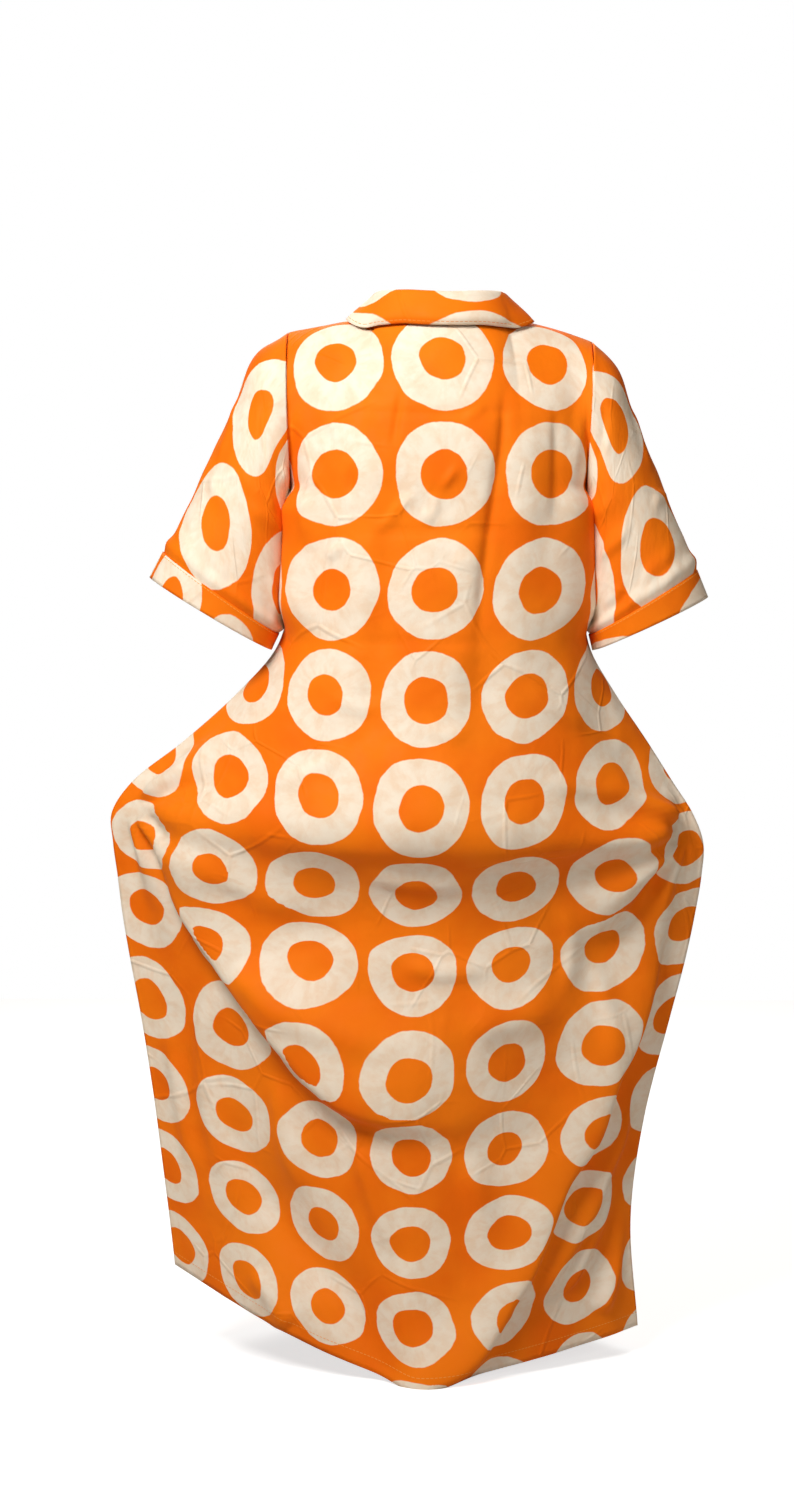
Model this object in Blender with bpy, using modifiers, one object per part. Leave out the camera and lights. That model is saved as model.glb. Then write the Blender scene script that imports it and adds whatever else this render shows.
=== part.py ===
"""Long printed-cotton robe with a shirt collar and turned-up half sleeves, its side seams held out by hand.

It is the hollow shape that the worn cloth keeps: seven cut pieces, each a wall of cloth of its own.
Metres, +Z up. The origin is the middle of the neck opening, the front faces -Y and the wearer's left is +X.
Heights in the tables are above the floor; NECK_HEIGHT turns them into Z.
"""

import math
from collections import namedtuple

import bmesh
import bpy
import numpy as np
from mathutils import Vector
from mathutils.bvhtree import BVHTree

# Driving dimensions
NECK_HEIGHT = 1.402  # from the floor to the neck opening
WALL = 0.002  # thickness of every piece of cloth
SEAM_GAP = 0.0003  # between two pieces that are sewn together
UNDERARM_HEIGHT = 1.170
NECK_X = 0.084  # half the width of the neck opening
NECK_SHARE = 0.4  # the share of a panel's columns that the neckline takes
NECK_BACK_Y = 0.064
NECK_DIP = 0.006  # how far the back neckline dips below the neck point
V_FOOT_Y = -0.124
V_FOOT_HEIGHT = 1.235
SHOULDER_X = 0.2035  # where the shoulder seam meets the armhole
SHOULDER_HEIGHT = {"left": 1.380, "right": 1.367}
ARMHOLE_DEPTH = 0.070  # from the shoulder seam back, or forward, to the armhole's widest place
ARMHOLE_BOW = 0.004  # how far the armhole's middle stands out sideways
UNDERARM_EASE = 0.0015  # more room for the sleeve where it folds down beside the body
LIFT_FROM = 0.62  # the height at which the rows start to slant towards the hem
HEM_LIFT = {"left": 0.118, "right": 0.036, "back": 0.0, "front": 0.045}  # off the floor
CUFF_BAND = 0.026  # height of the band turned up on each sleeve

# How finely the cloth is divided
YOKE_ROWS, SKIRT_ROWS = 8, 24
COLUMNS = {"back": 30, "front": 20}  # even, and a whole number of them in the neckline
SLEEVE_RINGS, CUFF_RINGS = 8, 2

ORANGE = (0.93, 0.22, 0.012, 1.0)
COTTON_ROUGHNESS = 0.7

# The body of the robe, section by section down from the underarm. left, right and middle are X; back, front
# and seam are Y. power and pinch shape the back from its middle to the side seams: a pinch over 1 draws the
# two layers together there, as a hand does.
Section = namedtuple(
    "Section", "height left right middle back front seam power pinch front_power front_pinch"
)
SECTIONS = (
    Section(1.170, 0.2000, -0.1950, -0.006, 0.130, -0.135, 0.000, 2.90, 0.52, 2.7, 0.52),
    Section(1.080, 0.2000, -0.1930, 0.002, 0.134, -0.148, 0.000, 2.80, 0.54, 2.6, 0.54),
    Section(1.010, 0.2040, -0.1930, 0.009, 0.137, -0.152, 0.000, 2.70, 0.58, 2.5, 0.58),
    Section(0.955, 0.2220, -0.2030, 0.014, 0.141, -0.153, 0.000, 2.50, 0.68, 2.4, 0.66),
    Section(0.900, 0.2700, -0.2340, 0.018, 0.148, -0.153, 0.000, 2.35, 0.82, 2.3, 0.80),
    Section(0.830, 0.3480, -0.2810, 0.021, 0.162, -0.152, 0.000, 2.20, 1.00, 2.2, 0.95),
    Section(0.775, 0.4180, -0.3160, 0.023, 0.180, -0.150, 0.000, 2.10, 1.15, 2.1, 1.05),
    Section(0.735, 0.4450, -0.3420, 0.026, 0.184, -0.148, 0.000, 2.05, 1.25, 2.0, 1.10),
    Section(0.695, 0.4440, -0.3570, 0.029, 0.172, -0.146, 0.000, 2.05, 1.25, 2.0, 1.10),
    Section(0.650, 0.4380, -0.3550, 0.031, 0.149, -0.146, 0.001, 2.05, 1.20, 1.9, 1.05),
    Section(0.600, 0.4320, -0.3470, 0.033, 0.136, -0.148, 0.002, 2.00, 1.15, 1.9, 1.05),
    Section(0.540, 0.4230, -0.3350, 0.035, 0.140, -0.152, 0.004, 1.95, 1.10, 1.8, 1.00),
    Section(0.450, 0.4090, -0.3130, 0.037, 0.154, -0.160, 0.008, 1.85, 1.10, 1.8, 1.00),
    Section(0.300, 0.3910, -0.2780, 0.038, 0.157, -0.176, 0.015, 1.70, 1.08, 1.8, 0.98),
    Section(0.150, 0.3760, -0.2600, 0.037, 0.172, -0.192, 0.023, 1.55, 1.04, 1.8, 0.96),
    Section(0.000, 0.3600, -0.2700, 0.035, 0.198, -0.206, 0.030, 1.50, 1.00, 1.8, 0.95),
)

# Folds, each along a path of (X, height). depth is how far the crest stands out, or in if negative. soft and
# sharp are its half-widths to the right and to the left of the path as it runs; lean pushes the crest over to
# the sharp side; wide is how much wider it is at the path's end; start and end are the shares that fade.
Fold = namedtuple("Fold", "path depth soft sharp lean wide start end")
BACK_FOLDS = (
    # the long swag from the left hand to the middle of the skirt
    Fold(((0.378, 0.765), (0.326, 0.633), (0.277, 0.559), (0.210, 0.473), (0.127, 0.387), (0.052, 0.358),
          (-0.013, 0.345), (-0.104, 0.360)), 0.032, 0.070, 0.021, 0.50, 1.3, 0.14, 0.42),
    # the swag across the hips from hand to hand
    Fold(((0.380, 0.755), (0.230, 0.727), (0.120, 0.716), (-0.030, 0.712), (-0.180, 0.716), (-0.300, 0.712)),
         0.014, 0.055, 0.030, 0.30, 1.0, 0.22, 0.22),
    # two more that leave the left hand, below it
    Fold(((0.390, 0.762), (0.337, 0.719), (0.268, 0.676), (0.183, 0.628), (0.078, 0.595)),
         0.016, 0.034, 0.018, 0.30, 1.5, 0.22, 0.50),
    Fold(((0.250, 0.560), (0.222, 0.524), (0.183, 0.491), (0.078, 0.452), (0.000, 0.445)),
         0.012, 0.022, 0.018, 0.30, 1.3, 0.25, 0.40),
    # two folds from the right hand towards the middle, and a slack one between them and the left
    Fold(((-0.330, 0.749), (-0.298, 0.736), (-0.262, 0.712), (-0.209, 0.705), (-0.157, 0.700)),
         0.012, 0.018, 0.028, -0.20, 1.3, 0.22, 0.50),
    Fold(((-0.330, 0.719), (-0.281, 0.685), (-0.231, 0.621), (-0.196, 0.595), (-0.157, 0.576)),
         0.017, 0.022, 0.040, -0.30, 1.3, 0.22, 0.45),
    Fold(((-0.175, 0.486), (-0.090, 0.470), (-0.020, 0.462)), 0.011, 0.020, 0.026, 0.0, 1.2, 0.35, 0.35),
    # the long fold from the foot of the skirt up to the right hand, and the one beside it
    Fold(((0.021, 0.005), (-0.035, 0.035), (-0.082, 0.106), (-0.116, 0.169), (-0.149, 0.248),
          (-0.189, 0.306), (-0.219, 0.389), (-0.254, 0.453), (-0.291, 0.563), (-0.330, 0.679)),
         0.023, 0.046, 0.017, 0.50, 0.8, 0.00, 0.30),
    Fold(((-0.104, 0.073), (-0.157, 0.145), (-0.189, 0.197), (-0.215, 0.252), (-0.245, 0.319),
          (-0.261, 0.387)),
         0.014, 0.025, 0.014, 0.40, 0.9, 0.15, 0.35),
    # soft hollow from the left seam to the foot of the skirt
    Fold(((0.292, 0.347), (0.230, 0.230), (0.166, 0.148), (0.121, 0.103), (0.073, 0.025)),
         -0.018, 0.034, 0.028, 0.0, 1.3, 0.30, 0.00),
    # crease down the strip that hangs below the left hand
    Fold(((0.372, 0.470), (0.358, 0.380), (0.343, 0.300), (0.322, 0.240)),
         0.007, 0.014, 0.011, 0.0, 1.0, 0.3, 0.3),
    # low rolls from the shoulder blades to the hips
    Fold(((0.062, 1.230), (0.070, 1.050), (0.085, 0.900), (0.105, 0.780)),
         -0.006, 0.026, 0.018, 0.0, 1.5, 0.3, 0.3),
    Fold(((-0.082, 1.300), (-0.080, 1.180), (-0.066, 1.050), (-0.055, 0.900), (-0.050, 0.780)),
         -0.007, 0.022, 0.016, 0.0, 1.6, 0.3, 0.3),
    Fold(((-0.160, 1.150), (-0.158, 1.020), (-0.172, 0.900), (-0.205, 0.800)),
         0.006, 0.020, 0.018, 0.0, 1.4, 0.3, 0.3),
)
FRONT_FOLDS = (
    Fold(((0.370, 0.700), (0.290, 0.490), (0.210, 0.270), (0.130, 0.050)),
         0.024, 0.050, 0.024, 0.3, 1.4, 0.15, 0.0),
    Fold(((0.340, 0.715), (0.170, 0.600), (0.010, 0.560), (-0.140, 0.600), (-0.290, 0.690)),
         0.018, 0.030, 0.055, 0.0, 1.0, 0.15, 0.15),
    Fold(((-0.300, 0.660), (-0.235, 0.460), (-0.160, 0.250), (-0.110, 0.050)),
         0.024, 0.026, 0.050, 0.0, 1.4, 0.15, 0.0),
    Fold(((0.060, 1.020), (0.055, 0.700), (0.045, 0.350), (0.030, 0.050)),
         0.012, 0.040, 0.040, 0.0, 1.4, 0.3, 0.0),
    Fold(((-0.090, 1.120), (-0.100, 0.900), (-0.120, 0.680)), 0.008, 0.026, 0.022, 0.0, 1.3, 0.3, 0.3),
    Fold(((0.110, 1.120), (0.130, 0.900), (0.170, 0.700)), 0.008, 0.026, 0.022, 0.0, 1.3, 0.3, 0.3),
)

# Where a hand gathers a side seam, pleats fan out over the cloth for some reach.
Grip = namedtuple("Grip", "x height pleats depth reach")
GRIPS = (
    Grip(0.425, 0.742, 9, 0.004, 0.070),
    Grip(-0.338, 0.712, 9, 0.004, 0.060),
)

# Each sleeve, ring by ring from the armhole to the cuff: its upper and lower line as seen from behind, half its
# depth from front to back, and the Y of its middle.
Ring = namedtuple("Ring", "upper_x upper_height lower_x lower_height half_depth middle_y")
SLEEVES = {
    "left": (
        Ring(0.2035, 1.380, 0.2000, 1.170, 0.070, 0.000),
        Ring(0.2460, 1.350, 0.2045, 1.134, 0.072, 0.001),
        Ring(0.2730, 1.292, 0.2060, 1.098, 0.072, 0.002),
        Ring(0.3080, 1.215, 0.2090, 1.055, 0.071, 0.004),
        Ring(0.3480, 1.130, 0.2170, 1.006, 0.069, 0.006),
        Ring(0.3880, 1.052, 0.2330, 0.957, 0.067, 0.008),
    ),
    "right": (
        Ring(-0.2035, 1.367, -0.1950, 1.170, 0.070, 0.000),
        Ring(-0.2370, 1.332, -0.1985, 1.134, 0.072, 0.001),
        Ring(-0.2600, 1.270, -0.1990, 1.096, 0.072, 0.002),
        Ring(-0.2900, 1.195, -0.2010, 1.052, 0.071, 0.004),
        Ring(-0.3240, 1.108, -0.2060, 1.003, 0.069, 0.006),
        Ring(-0.3570, 1.026, -0.2170, 0.956, 0.067, 0.008),
    ),
}

# The collar, from the middle of the back (along 0) by the shoulder seam to the foot of the V (along 1): how high
# its roll stands, how far its fall reaches over the cloth, and how far the fall stands off that cloth.
Station = namedtuple("Station", "along stand reach lift")
COLLAR = (
    Station(0.00, 0.035, 0.024, 0.0055),
    Station(0.14, 0.035, 0.028, 0.0055),
    Station(0.26, 0.033, 0.038, 0.0055),
    Station(0.38, 0.024, 0.048, 0.0055),
    Station(0.55, 0.012, 0.056, 0.0050),
    Station(0.75, 0.007, 0.060, 0.0045),
    Station(0.90, 0.006, 0.058, 0.0042),
    Station(1.00, 0.005, 0.036, 0.0040),
)
COLLAR_ENDS_SHORT = 0.35  # of the V's foot, as a share of the last length between two columns
ROLL_RADIUS = 0.005


def column(table, name):
    """One named column of a table."""
    return np.array([getattr(row, name) for row in table], float)


def through(keys, values, at):
    """A smooth curve through the points (keys, values), read at one or more places."""
    keys, values = np.asarray(keys, float), np.asarray(values, float)
    slopes = np.gradient(values, keys, axis=0)
    at = np.clip(np.asarray(at, float), keys[0], keys[-1])
    cell = np.clip(np.searchsorted(keys, at) - 1, 0, len(keys) - 2)
    width = keys[cell + 1] - keys[cell]
    t = (at - keys[cell]) / width
    if values.ndim > 1:
        t, width = t[..., None], width[..., None]
    return (
        (1 + 2 * t) * (1 - t) ** 2 * values[cell]
        + t * (1 - t) ** 2 * width * slopes[cell]
        + t * t * (3 - 2 * t) * values[cell + 1]
        + t * t * (t - 1) * width * slopes[cell + 1]
    )


def smooth_step(t):
    """0 below 0, 1 above 1, and a smooth rise between."""
    t = np.clip(t, 0.0, 1.0)
    return t * t * (3 - 2 * t)


def unit(vectors):
    """Vectors made one long."""
    return vectors / np.maximum(np.linalg.norm(vectors, axis=-1, keepdims=True), 1e-12)


def evenly(points, count):
    """A polyline's points moved along it to equal distances."""
    along = np.concatenate([[0.0], np.cumsum(np.linalg.norm(np.diff(points, axis=0), axis=1))])
    wanted = np.linspace(0.0, along[-1], count)
    return np.stack([np.interp(wanted, along, points[:, axis]) for axis in range(3)], axis=1)


def section_at(height):
    """The section of the body at a height, read between the rows of SECTIONS."""
    table = SECTIONS[::-1]
    heights = column(table, "height")
    values = [float(through(heights, column(table, name), height)) for name in Section._fields[1:]]
    return Section(height, *values)


def hem_lift(across, side):
    """How far the hem is lifted, from the right seam (-1) by the middle (0) to the left seam (1)."""
    corner = np.where(across > 0, HEM_LIFT["left"], HEM_LIFT["right"])
    return HEM_LIFT[side] + (corner - HEM_LIFT[side]) * np.abs(across) ** 1.25


def section_row(height, side, columns):
    """One row of a body panel from the right seam to the left, its points spaced evenly along the cloth."""
    section = section_at(height)
    outermost, power, pinch = section.back, section.power, section.pinch
    if side == "front":
        outermost, power, pinch = section.front, section.front_power, section.front_pinch
    slant = smooth_step((LIFT_FROM - height) / LIFT_FROM)
    halves = []
    for edge, sign in ((section.right, -1.0), (section.left, 1.0)):
        share = np.sin(np.linspace(0.0, math.pi / 2, 200))
        x = section.middle + (edge - section.middle) * share
        y = section.seam + (outermost - section.seam) * (1 - share**power) ** pinch
        z = height + slant * hem_lift(share * sign, side)
        halves.append(evenly(np.stack([x, y, z], axis=1), columns // 2 + 1))
    return np.concatenate([halves[0][::-1], halves[1][1:]])


def neckline(share, side):
    """The neckline, from the right shoulder seam (-1) by its middle (0) to the left one (1)."""
    fall = 1 - np.abs(share)
    if side == "back":
        x = NECK_X * np.sin(share * math.pi / 2)
        y = NECK_BACK_Y * np.cos(share * math.pi / 2)
        z = NECK_HEIGHT - NECK_DIP * np.cos(share * math.pi / 2)
    else:
        x = NECK_X * np.sign(share) * (1 - fall**1.3)
        y = V_FOOT_Y * np.sin(fall * math.pi / 2)
        z = NECK_HEIGHT + (V_FOOT_HEIGHT - NECK_HEIGHT) * fall**1.2
    return np.stack([x, y, z], axis=-1)


def top_edge(side, columns):
    """The upper edge of a body panel: shoulder seam, neckline, shoulder seam."""
    across = np.linspace(-1.0, 1.0, columns + 1)
    edge = neckline(np.clip(across / NECK_SHARE, -1, 1), side)
    out = np.clip((np.abs(across) - NECK_SHARE) / (1 - NECK_SHARE), 0, 1)
    shoulder = np.where(across > 0, SHOULDER_HEIGHT["left"], SHOULDER_HEIGHT["right"])
    edge[:, 0] += np.sign(across) * out * (SHOULDER_X - NECK_X)
    edge[:, 2] += (shoulder - NECK_HEIGHT) * out**1.5
    return edge


def armhole_drop(turn):
    """How far down the armhole a turn has come, from 0 to 1: a little pointed at its top and foot."""
    steady = 1 - np.abs(1 - np.asarray(turn) / math.pi)
    return 0.6 * (1 - np.cos(turn)) / 2 + 0.4 * steady


def armhole(turn, hand):
    """The armhole: turn is 0 at the shoulder seam, pi at the underarm; between them it passes the back."""
    sign = 1.0 if hand == "left" else -1.0
    foot_x = abs(getattr(section_at(UNDERARM_HEIGHT), hand))
    down = armhole_drop(turn)
    x = sign * (SHOULDER_X + (foot_x - SHOULDER_X) * down + ARMHOLE_BOW * np.sin(turn) ** 2)
    z = SHOULDER_HEIGHT[hand] + (UNDERARM_HEIGHT - SHOULDER_HEIGHT[hand]) * down
    return np.stack([x, ARMHOLE_DEPTH * np.sin(turn), z], axis=-1)


def yoke(side, columns):
    """A panel above the underarm: level at the shoulders, upright at its foot, with armholes at its sides."""
    top, foot = top_edge(side, columns), section_row(UNDERARM_HEIGHT, side, columns)
    down = np.linspace(0.0, 1.0, YOKE_ROWS + 1)
    level = np.sin(down * math.pi / 2) ** 1.25
    drop = np.cos(down * math.pi / 2)
    grid = top + (foot - top) * level[:, None, None]
    grid[..., 2] = foot[:, 2] + (top[:, 2] - foot[:, 2]) * drop[:, None]
    across = np.linspace(-1.0, 1.0, columns + 1)
    for edge, hand, sign in ((0, "right", -1.0), (-1, "left", 1.0)):
        wanted = armhole(down * math.pi, hand)
        if side == "front":
            wanted[:, 1] *= -1
        near = np.clip(across * sign, 0.0, 1.0) ** 4
        grid += (wanted - grid[:, edge])[:, None, :] * near[None, :, None]
    return grid


def fold_shift(fold, x, height):
    """How far a fold moves each point of the cloth outward, and its push along X and height."""
    points = np.array(fold.path)
    line = through(np.arange(len(points)), points, np.linspace(0, len(points) - 1, 100))
    ahead = unit(np.gradient(line, axis=0))
    away = np.stack([x, height], axis=-1)[..., None, :] - line
    nearest = np.argmin((away**2).sum(axis=-1), axis=-1)
    tangent = ahead[nearest]
    offset = np.take_along_axis(away, nearest[..., None, None], axis=-2)[..., 0, :]
    leftward = np.stack([-tangent[..., 1], tangent[..., 0]], axis=-1)
    distance = (offset * leftward).sum(axis=-1)
    beyond = (offset * tangent).sum(axis=-1)
    along = nearest / (len(line) - 1)
    half_width = np.where(distance > 0, fold.sharp, fold.soft) * (1 + (fold.wide - 1) * along)
    fade = smooth_step((along + 1e-3) / (fold.start + 1e-3))
    fade = fade * smooth_step((1 - along + 1e-3) / (fold.end + 1e-3))
    bump = fold.depth * fade * np.exp(-((distance / half_width) ** 2) - (beyond / fold.soft) ** 2)
    return bump, leftward * (fold.lean * bump)[..., None]


def grip_pleats(grip, x, height):
    """How far the pleats that fan out from a hand move the cloth outward."""
    inward, up = -np.sign(grip.x) * (x - grip.x), height - grip.height
    distance = np.hypot(inward, up)
    rise = (distance / grip.reach) * np.exp(1 - distance / grip.reach)
    return grip.depth * rise**2 * np.cos(grip.pleats * np.arctan2(up, inward))


def outward_normals(grid, side):
    """Unit normals of a body panel, pointing away from the wearer."""
    normal = unit(np.cross(np.gradient(grid, axis=0), np.gradient(grid, axis=1)))
    outward = 1.0 if side == "back" else -1.0
    middle = normal[grid.shape[0] // 2, grid.shape[1] // 2, 1]
    return normal if middle * outward > 0 else -normal


def body_panel(side):
    """The points of the front or the back, folds and all, row by row from the shoulders to the hem."""
    columns = COLUMNS[side]
    heights = np.linspace(UNDERARM_HEIGHT, 0.0, SKIRT_ROWS + 1)[1:]
    grid = np.concatenate([yoke(side, columns), [section_row(height, side, columns) for height in heights]])
    normal = outward_normals(grid, side)
    x, height = grid[..., 0].copy(), grid[..., 2].copy()
    free = smooth_step((1 - np.abs(np.linspace(-1.0, 1.0, columns + 1))) / 0.12)
    for fold in BACK_FOLDS if side == "back" else FRONT_FOLDS:
        outward, push = fold_shift(fold, x, height)
        grid += normal * (outward * free)[..., None]
        grid[..., 0] += push[..., 0] * free
        grid[..., 2] += push[..., 1] * free
    for grip in GRIPS:
        grid += normal * (grip_pleats(grip, x, height) * free)[..., None]
    draw_back_from_seams(grid, side)
    grid[..., 2] -= NECK_HEIGHT
    return grid


def seam_room(normals, axis):
    """How far a sewn edge keeps from the plane of its seam, which lies across an axis."""
    return SEAM_GAP * 0.7 + np.abs(normals[..., axis]) * WALL / 2


def draw_back_from_seams(grid, side):
    """Moves a panel's sewn edges back, to keep the seam's gap from the other panel and the sleeves."""
    normals = outward_normals(grid, side)
    outward = 1.0 if side == "back" else -1.0
    grid[0, :, 1] += outward * seam_room(normals[0], 1)
    for edge, inward in ((0, 1.0), (-1, -1.0)):
        grid[YOKE_ROWS:, edge, 1] += outward * seam_room(normals[YOKE_ROWS:, edge], 1)
        grid[: YOKE_ROWS + 1, edge, 0] += inward * seam_room(normals[: YOKE_ROWS + 1, edge], 0)


def sleeve_rings(hand, shares):
    """Rings of a sleeve at shares of its length, each from its upper line round by the back."""
    table = SLEEVES[hand]
    keys = np.linspace(0.0, 1.0, len(table))
    upper_x, upper_z, lower_x, lower_z, half_depth, middle_y = (
        through(keys, column(table, name), shares)[:, None] for name in Ring._fields
    )
    turn = np.linspace(0.0, 2 * math.pi, 2 * YOKE_ROWS, endpoint=False)
    x = (upper_x + lower_x) / 2 + (upper_x - lower_x) / 2 * np.cos(turn)
    y = middle_y + half_depth * np.sin(turn)
    z = (upper_z + lower_z) / 2 + (upper_z - lower_z) / 2 * np.cos(turn) - NECK_HEIGHT
    return np.stack([x, y, z], axis=-1)


def sleeve(hand):
    """The points of a sleeve, whose first ring is the armhole, a seam's gap further out."""
    grid = sleeve_rings(hand, np.linspace(0.0, 1.0, SLEEVE_RINGS + 1))
    turn = np.linspace(0.0, 2 * math.pi, 2 * YOKE_ROWS, endpoint=False)
    grid[0] = armhole(turn, hand) - (0, 0, NECK_HEIGHT)
    around = np.roll(grid[0], -1, axis=0) - np.roll(grid[0], 1, axis=0)
    normals = unit(np.cross(around, grid[1] - grid[0]))
    sideways = 1.0 if hand == "left" else -1.0
    grid[0, :, 0] += sideways * (seam_room(normals, 0) + UNDERARM_EASE * ((1 - np.cos(turn)) / 2) ** 2)
    return grid


def cuff(hand):
    """The band turned up at the foot of a sleeve: the sleeve's own rings, moved out past its wall."""
    middles = sleeve_rings(hand, np.linspace(0.0, 1.0, 30)).mean(axis=1)
    length = np.linalg.norm(np.diff(middles, axis=0), axis=1).sum()
    rings = sleeve_rings(hand, np.linspace(1.0 - CUFF_BAND / length, 1.0, CUFF_RINGS + 1))
    middle = rings.mean(axis=1, keepdims=True)
    outward = unit(rings - middle)
    return rings + outward * (WALL + SEAM_GAP) * 1.15


def tree_of(grids):
    """One search tree over several panels."""
    points, faces = [], []
    for grid in grids:
        for face in grid_faces(*grid.shape[:2], False):
            faces.append(tuple(len(points) + corner for corner in face))
        points += [tuple(point) for point in grid.reshape(-1, 3)]
    return BVHTree.FromPolygons(points, faces)


def smoothed(line, times):
    """A line of points or directions with its small kinks taken out; its ends stay."""
    for _ in range(times):
        line = np.concatenate([line[:1], (line[:-2] + 2 * line[1:-1] + line[2:]) / 4, line[-1:]])
    return line


def on_panels(tree, points, outward):
    """The places of the panels nearest to some points, and the cloth's outward normals there."""
    places, normals = [], []
    for point, away in zip(points, outward):
        place, normal, _, _ = tree.find_nearest(Vector(point))
        places.append(place)
        normals.append(np.array(normal) * np.sign(np.dot(normal, away)))
    return np.array(places), unit(smoothed(np.array(normals), 4))


def neck_seam(panels):
    """The panels' neck edges as one line, from the V's foot round by the right, the back and the left."""
    edges = {}
    for side, grid in panels.items():
        middle = COLUMNS[side] // 2
        half = round(NECK_SHARE * middle)
        edges[side] = grid[0, middle - half : middle + half + 1]
    foot = len(edges["front"]) // 2
    line = np.concatenate([edges["front"][foot::-1], edges["back"], edges["front"][:foot - 1:-1]])
    line[0] += (line[1] - line[0]) * COLLAR_ENDS_SHORT
    line[-1] += (line[-2] - line[-1]) * COLLAR_ENDS_SHORT
    halved = np.empty((2 * len(line) - 1, 3))
    halved[::2] = line
    halved[1::2] = (line[:-1] + line[1:]) / 2
    return halved


def collar(panels):
    """The points of the collar, station by station: neck seam, stand, roll and fall."""
    tree = tree_of(panels.values())
    seam = neck_seam(panels)
    travelled = np.concatenate([[0.0], np.cumsum(np.linalg.norm(np.diff(seam, axis=0), axis=1))])
    along = np.abs(2 * travelled / travelled[-1] - 1)
    keys = column(COLLAR, "along")
    stand, reach, lift = (through(keys, column(COLLAR, name), along) for name in ("stand", "reach", "lift"))
    centre = np.array((0.0, 0.0, -0.15))
    _, outward = on_panels(tree, seam, unit(seam - centre))
    away = unit(np.cross(outward, np.gradient(seam, axis=0)))
    away *= np.sign(away[len(away) // 2, 1])
    upright = smooth_step((0.55 - along) / 0.45)[:, None]
    rise = unit(outward * (1 - upright) + np.array((0.0, 0.0, 1.0)) * upright) * stand[:, None]
    foot = seam + outward * (WALL / 2 + SEAM_GAP * 2)
    lines = [
        foot,
        foot + rise * 0.55,
        foot + rise + away * ROLL_RADIUS * 0.3,
        foot + rise * 0.9 + away * ROLL_RADIUS * 1.6,
    ]
    for share, height in ((0.65, lift * 1.1 + stand * 0.28), (1.0, lift)):
        places, normals = on_panels(tree, seam + away * (reach * share)[:, None], outward)
        lines.append(places + normals * height[:, None])
    return np.stack(lines, axis=1)


def grid_faces(rows, columns, closed):
    """Quads between the rows of a grid; closed joins the last column to the first."""
    faces = []
    for row in range(rows - 1):
        for left in range(columns if closed else columns - 1):
            right = (left + 1) % columns
            here, below = row * columns, (row + 1) * columns
            faces.append((here + left, here + right, below + right, below + left))
    return faces


def cotton():
    """The printed cotton in its ground colour."""
    material = bpy.data.materials.new("printed cotton")
    material.use_nodes = True
    shader = material.node_tree.nodes["Principled BSDF"]
    shader.inputs["Base Color"].default_value = ORANGE
    shader.inputs["Roughness"].default_value = COTTON_ROUGHNESS
    return material


def cloth(name, grid, material, closed=False):
    """An object made of a grid of points, given the cloth's thickness."""
    rows, columns = grid.shape[:2]
    mesh = bpy.data.meshes.new(name)
    mesh.from_pydata(grid.reshape(-1, 3).tolist(), [], grid_faces(rows, columns, closed))
    mesh.materials.append(material)
    made = bmesh.new()
    made.from_mesh(mesh)
    bmesh.ops.recalc_face_normals(made, faces=made.faces)
    made.to_mesh(mesh)
    made.free()
    piece = bpy.data.objects.new(name, mesh)
    bpy.context.scene.collection.objects.link(piece)
    wall = piece.modifiers.new("Cloth thickness", "SOLIDIFY")
    wall.thickness = WALL
    wall.offset = 0.0
    return piece


def main():
    for old in list(bpy.data.objects):
        bpy.data.objects.remove(old)
    material = cotton()
    panels = {side: body_panel(side) for side in ("back", "front")}
    for side, grid in panels.items():
        cloth(side, grid, material)
    for hand in ("left", "right"):
        cloth("sleeve_" + hand, sleeve(hand), material, closed=True)
        cloth("cuff_" + hand, cuff(hand), material, closed=True)
    cloth("collar", collar(panels), material)


main()
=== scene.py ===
"""The looks of a long cotton robe printed with large rings, in the hollow shape that its worn cloth keeps.

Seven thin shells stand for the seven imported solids. Metres, +Z up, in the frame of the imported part: the
origin is the middle of the neck opening, the front faces -Y and the wearer's left is +X. Heights in the
tables are above the floor; NECK_HEIGHT turns them into Z.
"""

import math
from collections import namedtuple

import bpy
import numpy as np
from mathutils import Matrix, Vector, noise
from mathutils.bvhtree import BVHTree


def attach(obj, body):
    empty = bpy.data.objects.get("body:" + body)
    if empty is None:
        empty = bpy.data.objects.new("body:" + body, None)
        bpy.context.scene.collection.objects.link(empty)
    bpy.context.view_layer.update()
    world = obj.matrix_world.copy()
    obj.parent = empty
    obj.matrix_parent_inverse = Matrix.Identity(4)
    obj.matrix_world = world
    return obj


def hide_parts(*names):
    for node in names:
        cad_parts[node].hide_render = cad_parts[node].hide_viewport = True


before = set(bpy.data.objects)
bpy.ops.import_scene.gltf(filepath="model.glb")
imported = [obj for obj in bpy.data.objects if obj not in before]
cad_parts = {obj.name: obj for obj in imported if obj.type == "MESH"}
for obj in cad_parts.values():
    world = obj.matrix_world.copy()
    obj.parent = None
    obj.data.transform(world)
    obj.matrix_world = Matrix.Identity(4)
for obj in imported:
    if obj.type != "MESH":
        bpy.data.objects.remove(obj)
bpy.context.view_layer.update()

# Driving dimensions, as the solids have them
NECK_HEIGHT = 1.402  # from the floor to the neck opening
SEAM_GAP = 0.0003  # between two pieces that are sewn together
UNDERARM_HEIGHT = 1.170
NECK_X = 0.084  # half the width of the neck opening
NECK_SHARE = 0.4  # the share of a panel's columns that the neckline takes
NECK_BACK_Y = 0.064
NECK_DIP = 0.006  # how far the back neckline dips below the neck point
V_FOOT_Y = -0.124
V_FOOT_HEIGHT = 1.235
SHOULDER_X = 0.2035  # where the shoulder seam meets the armhole
SHOULDER_HEIGHT = {"left": 1.380, "right": 1.367}
ARMHOLE_DEPTH = 0.070  # from the shoulder seam back, or forward, to the armhole's widest place
ARMHOLE_BOW = 0.004  # how far the armhole's middle stands out sideways
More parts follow.
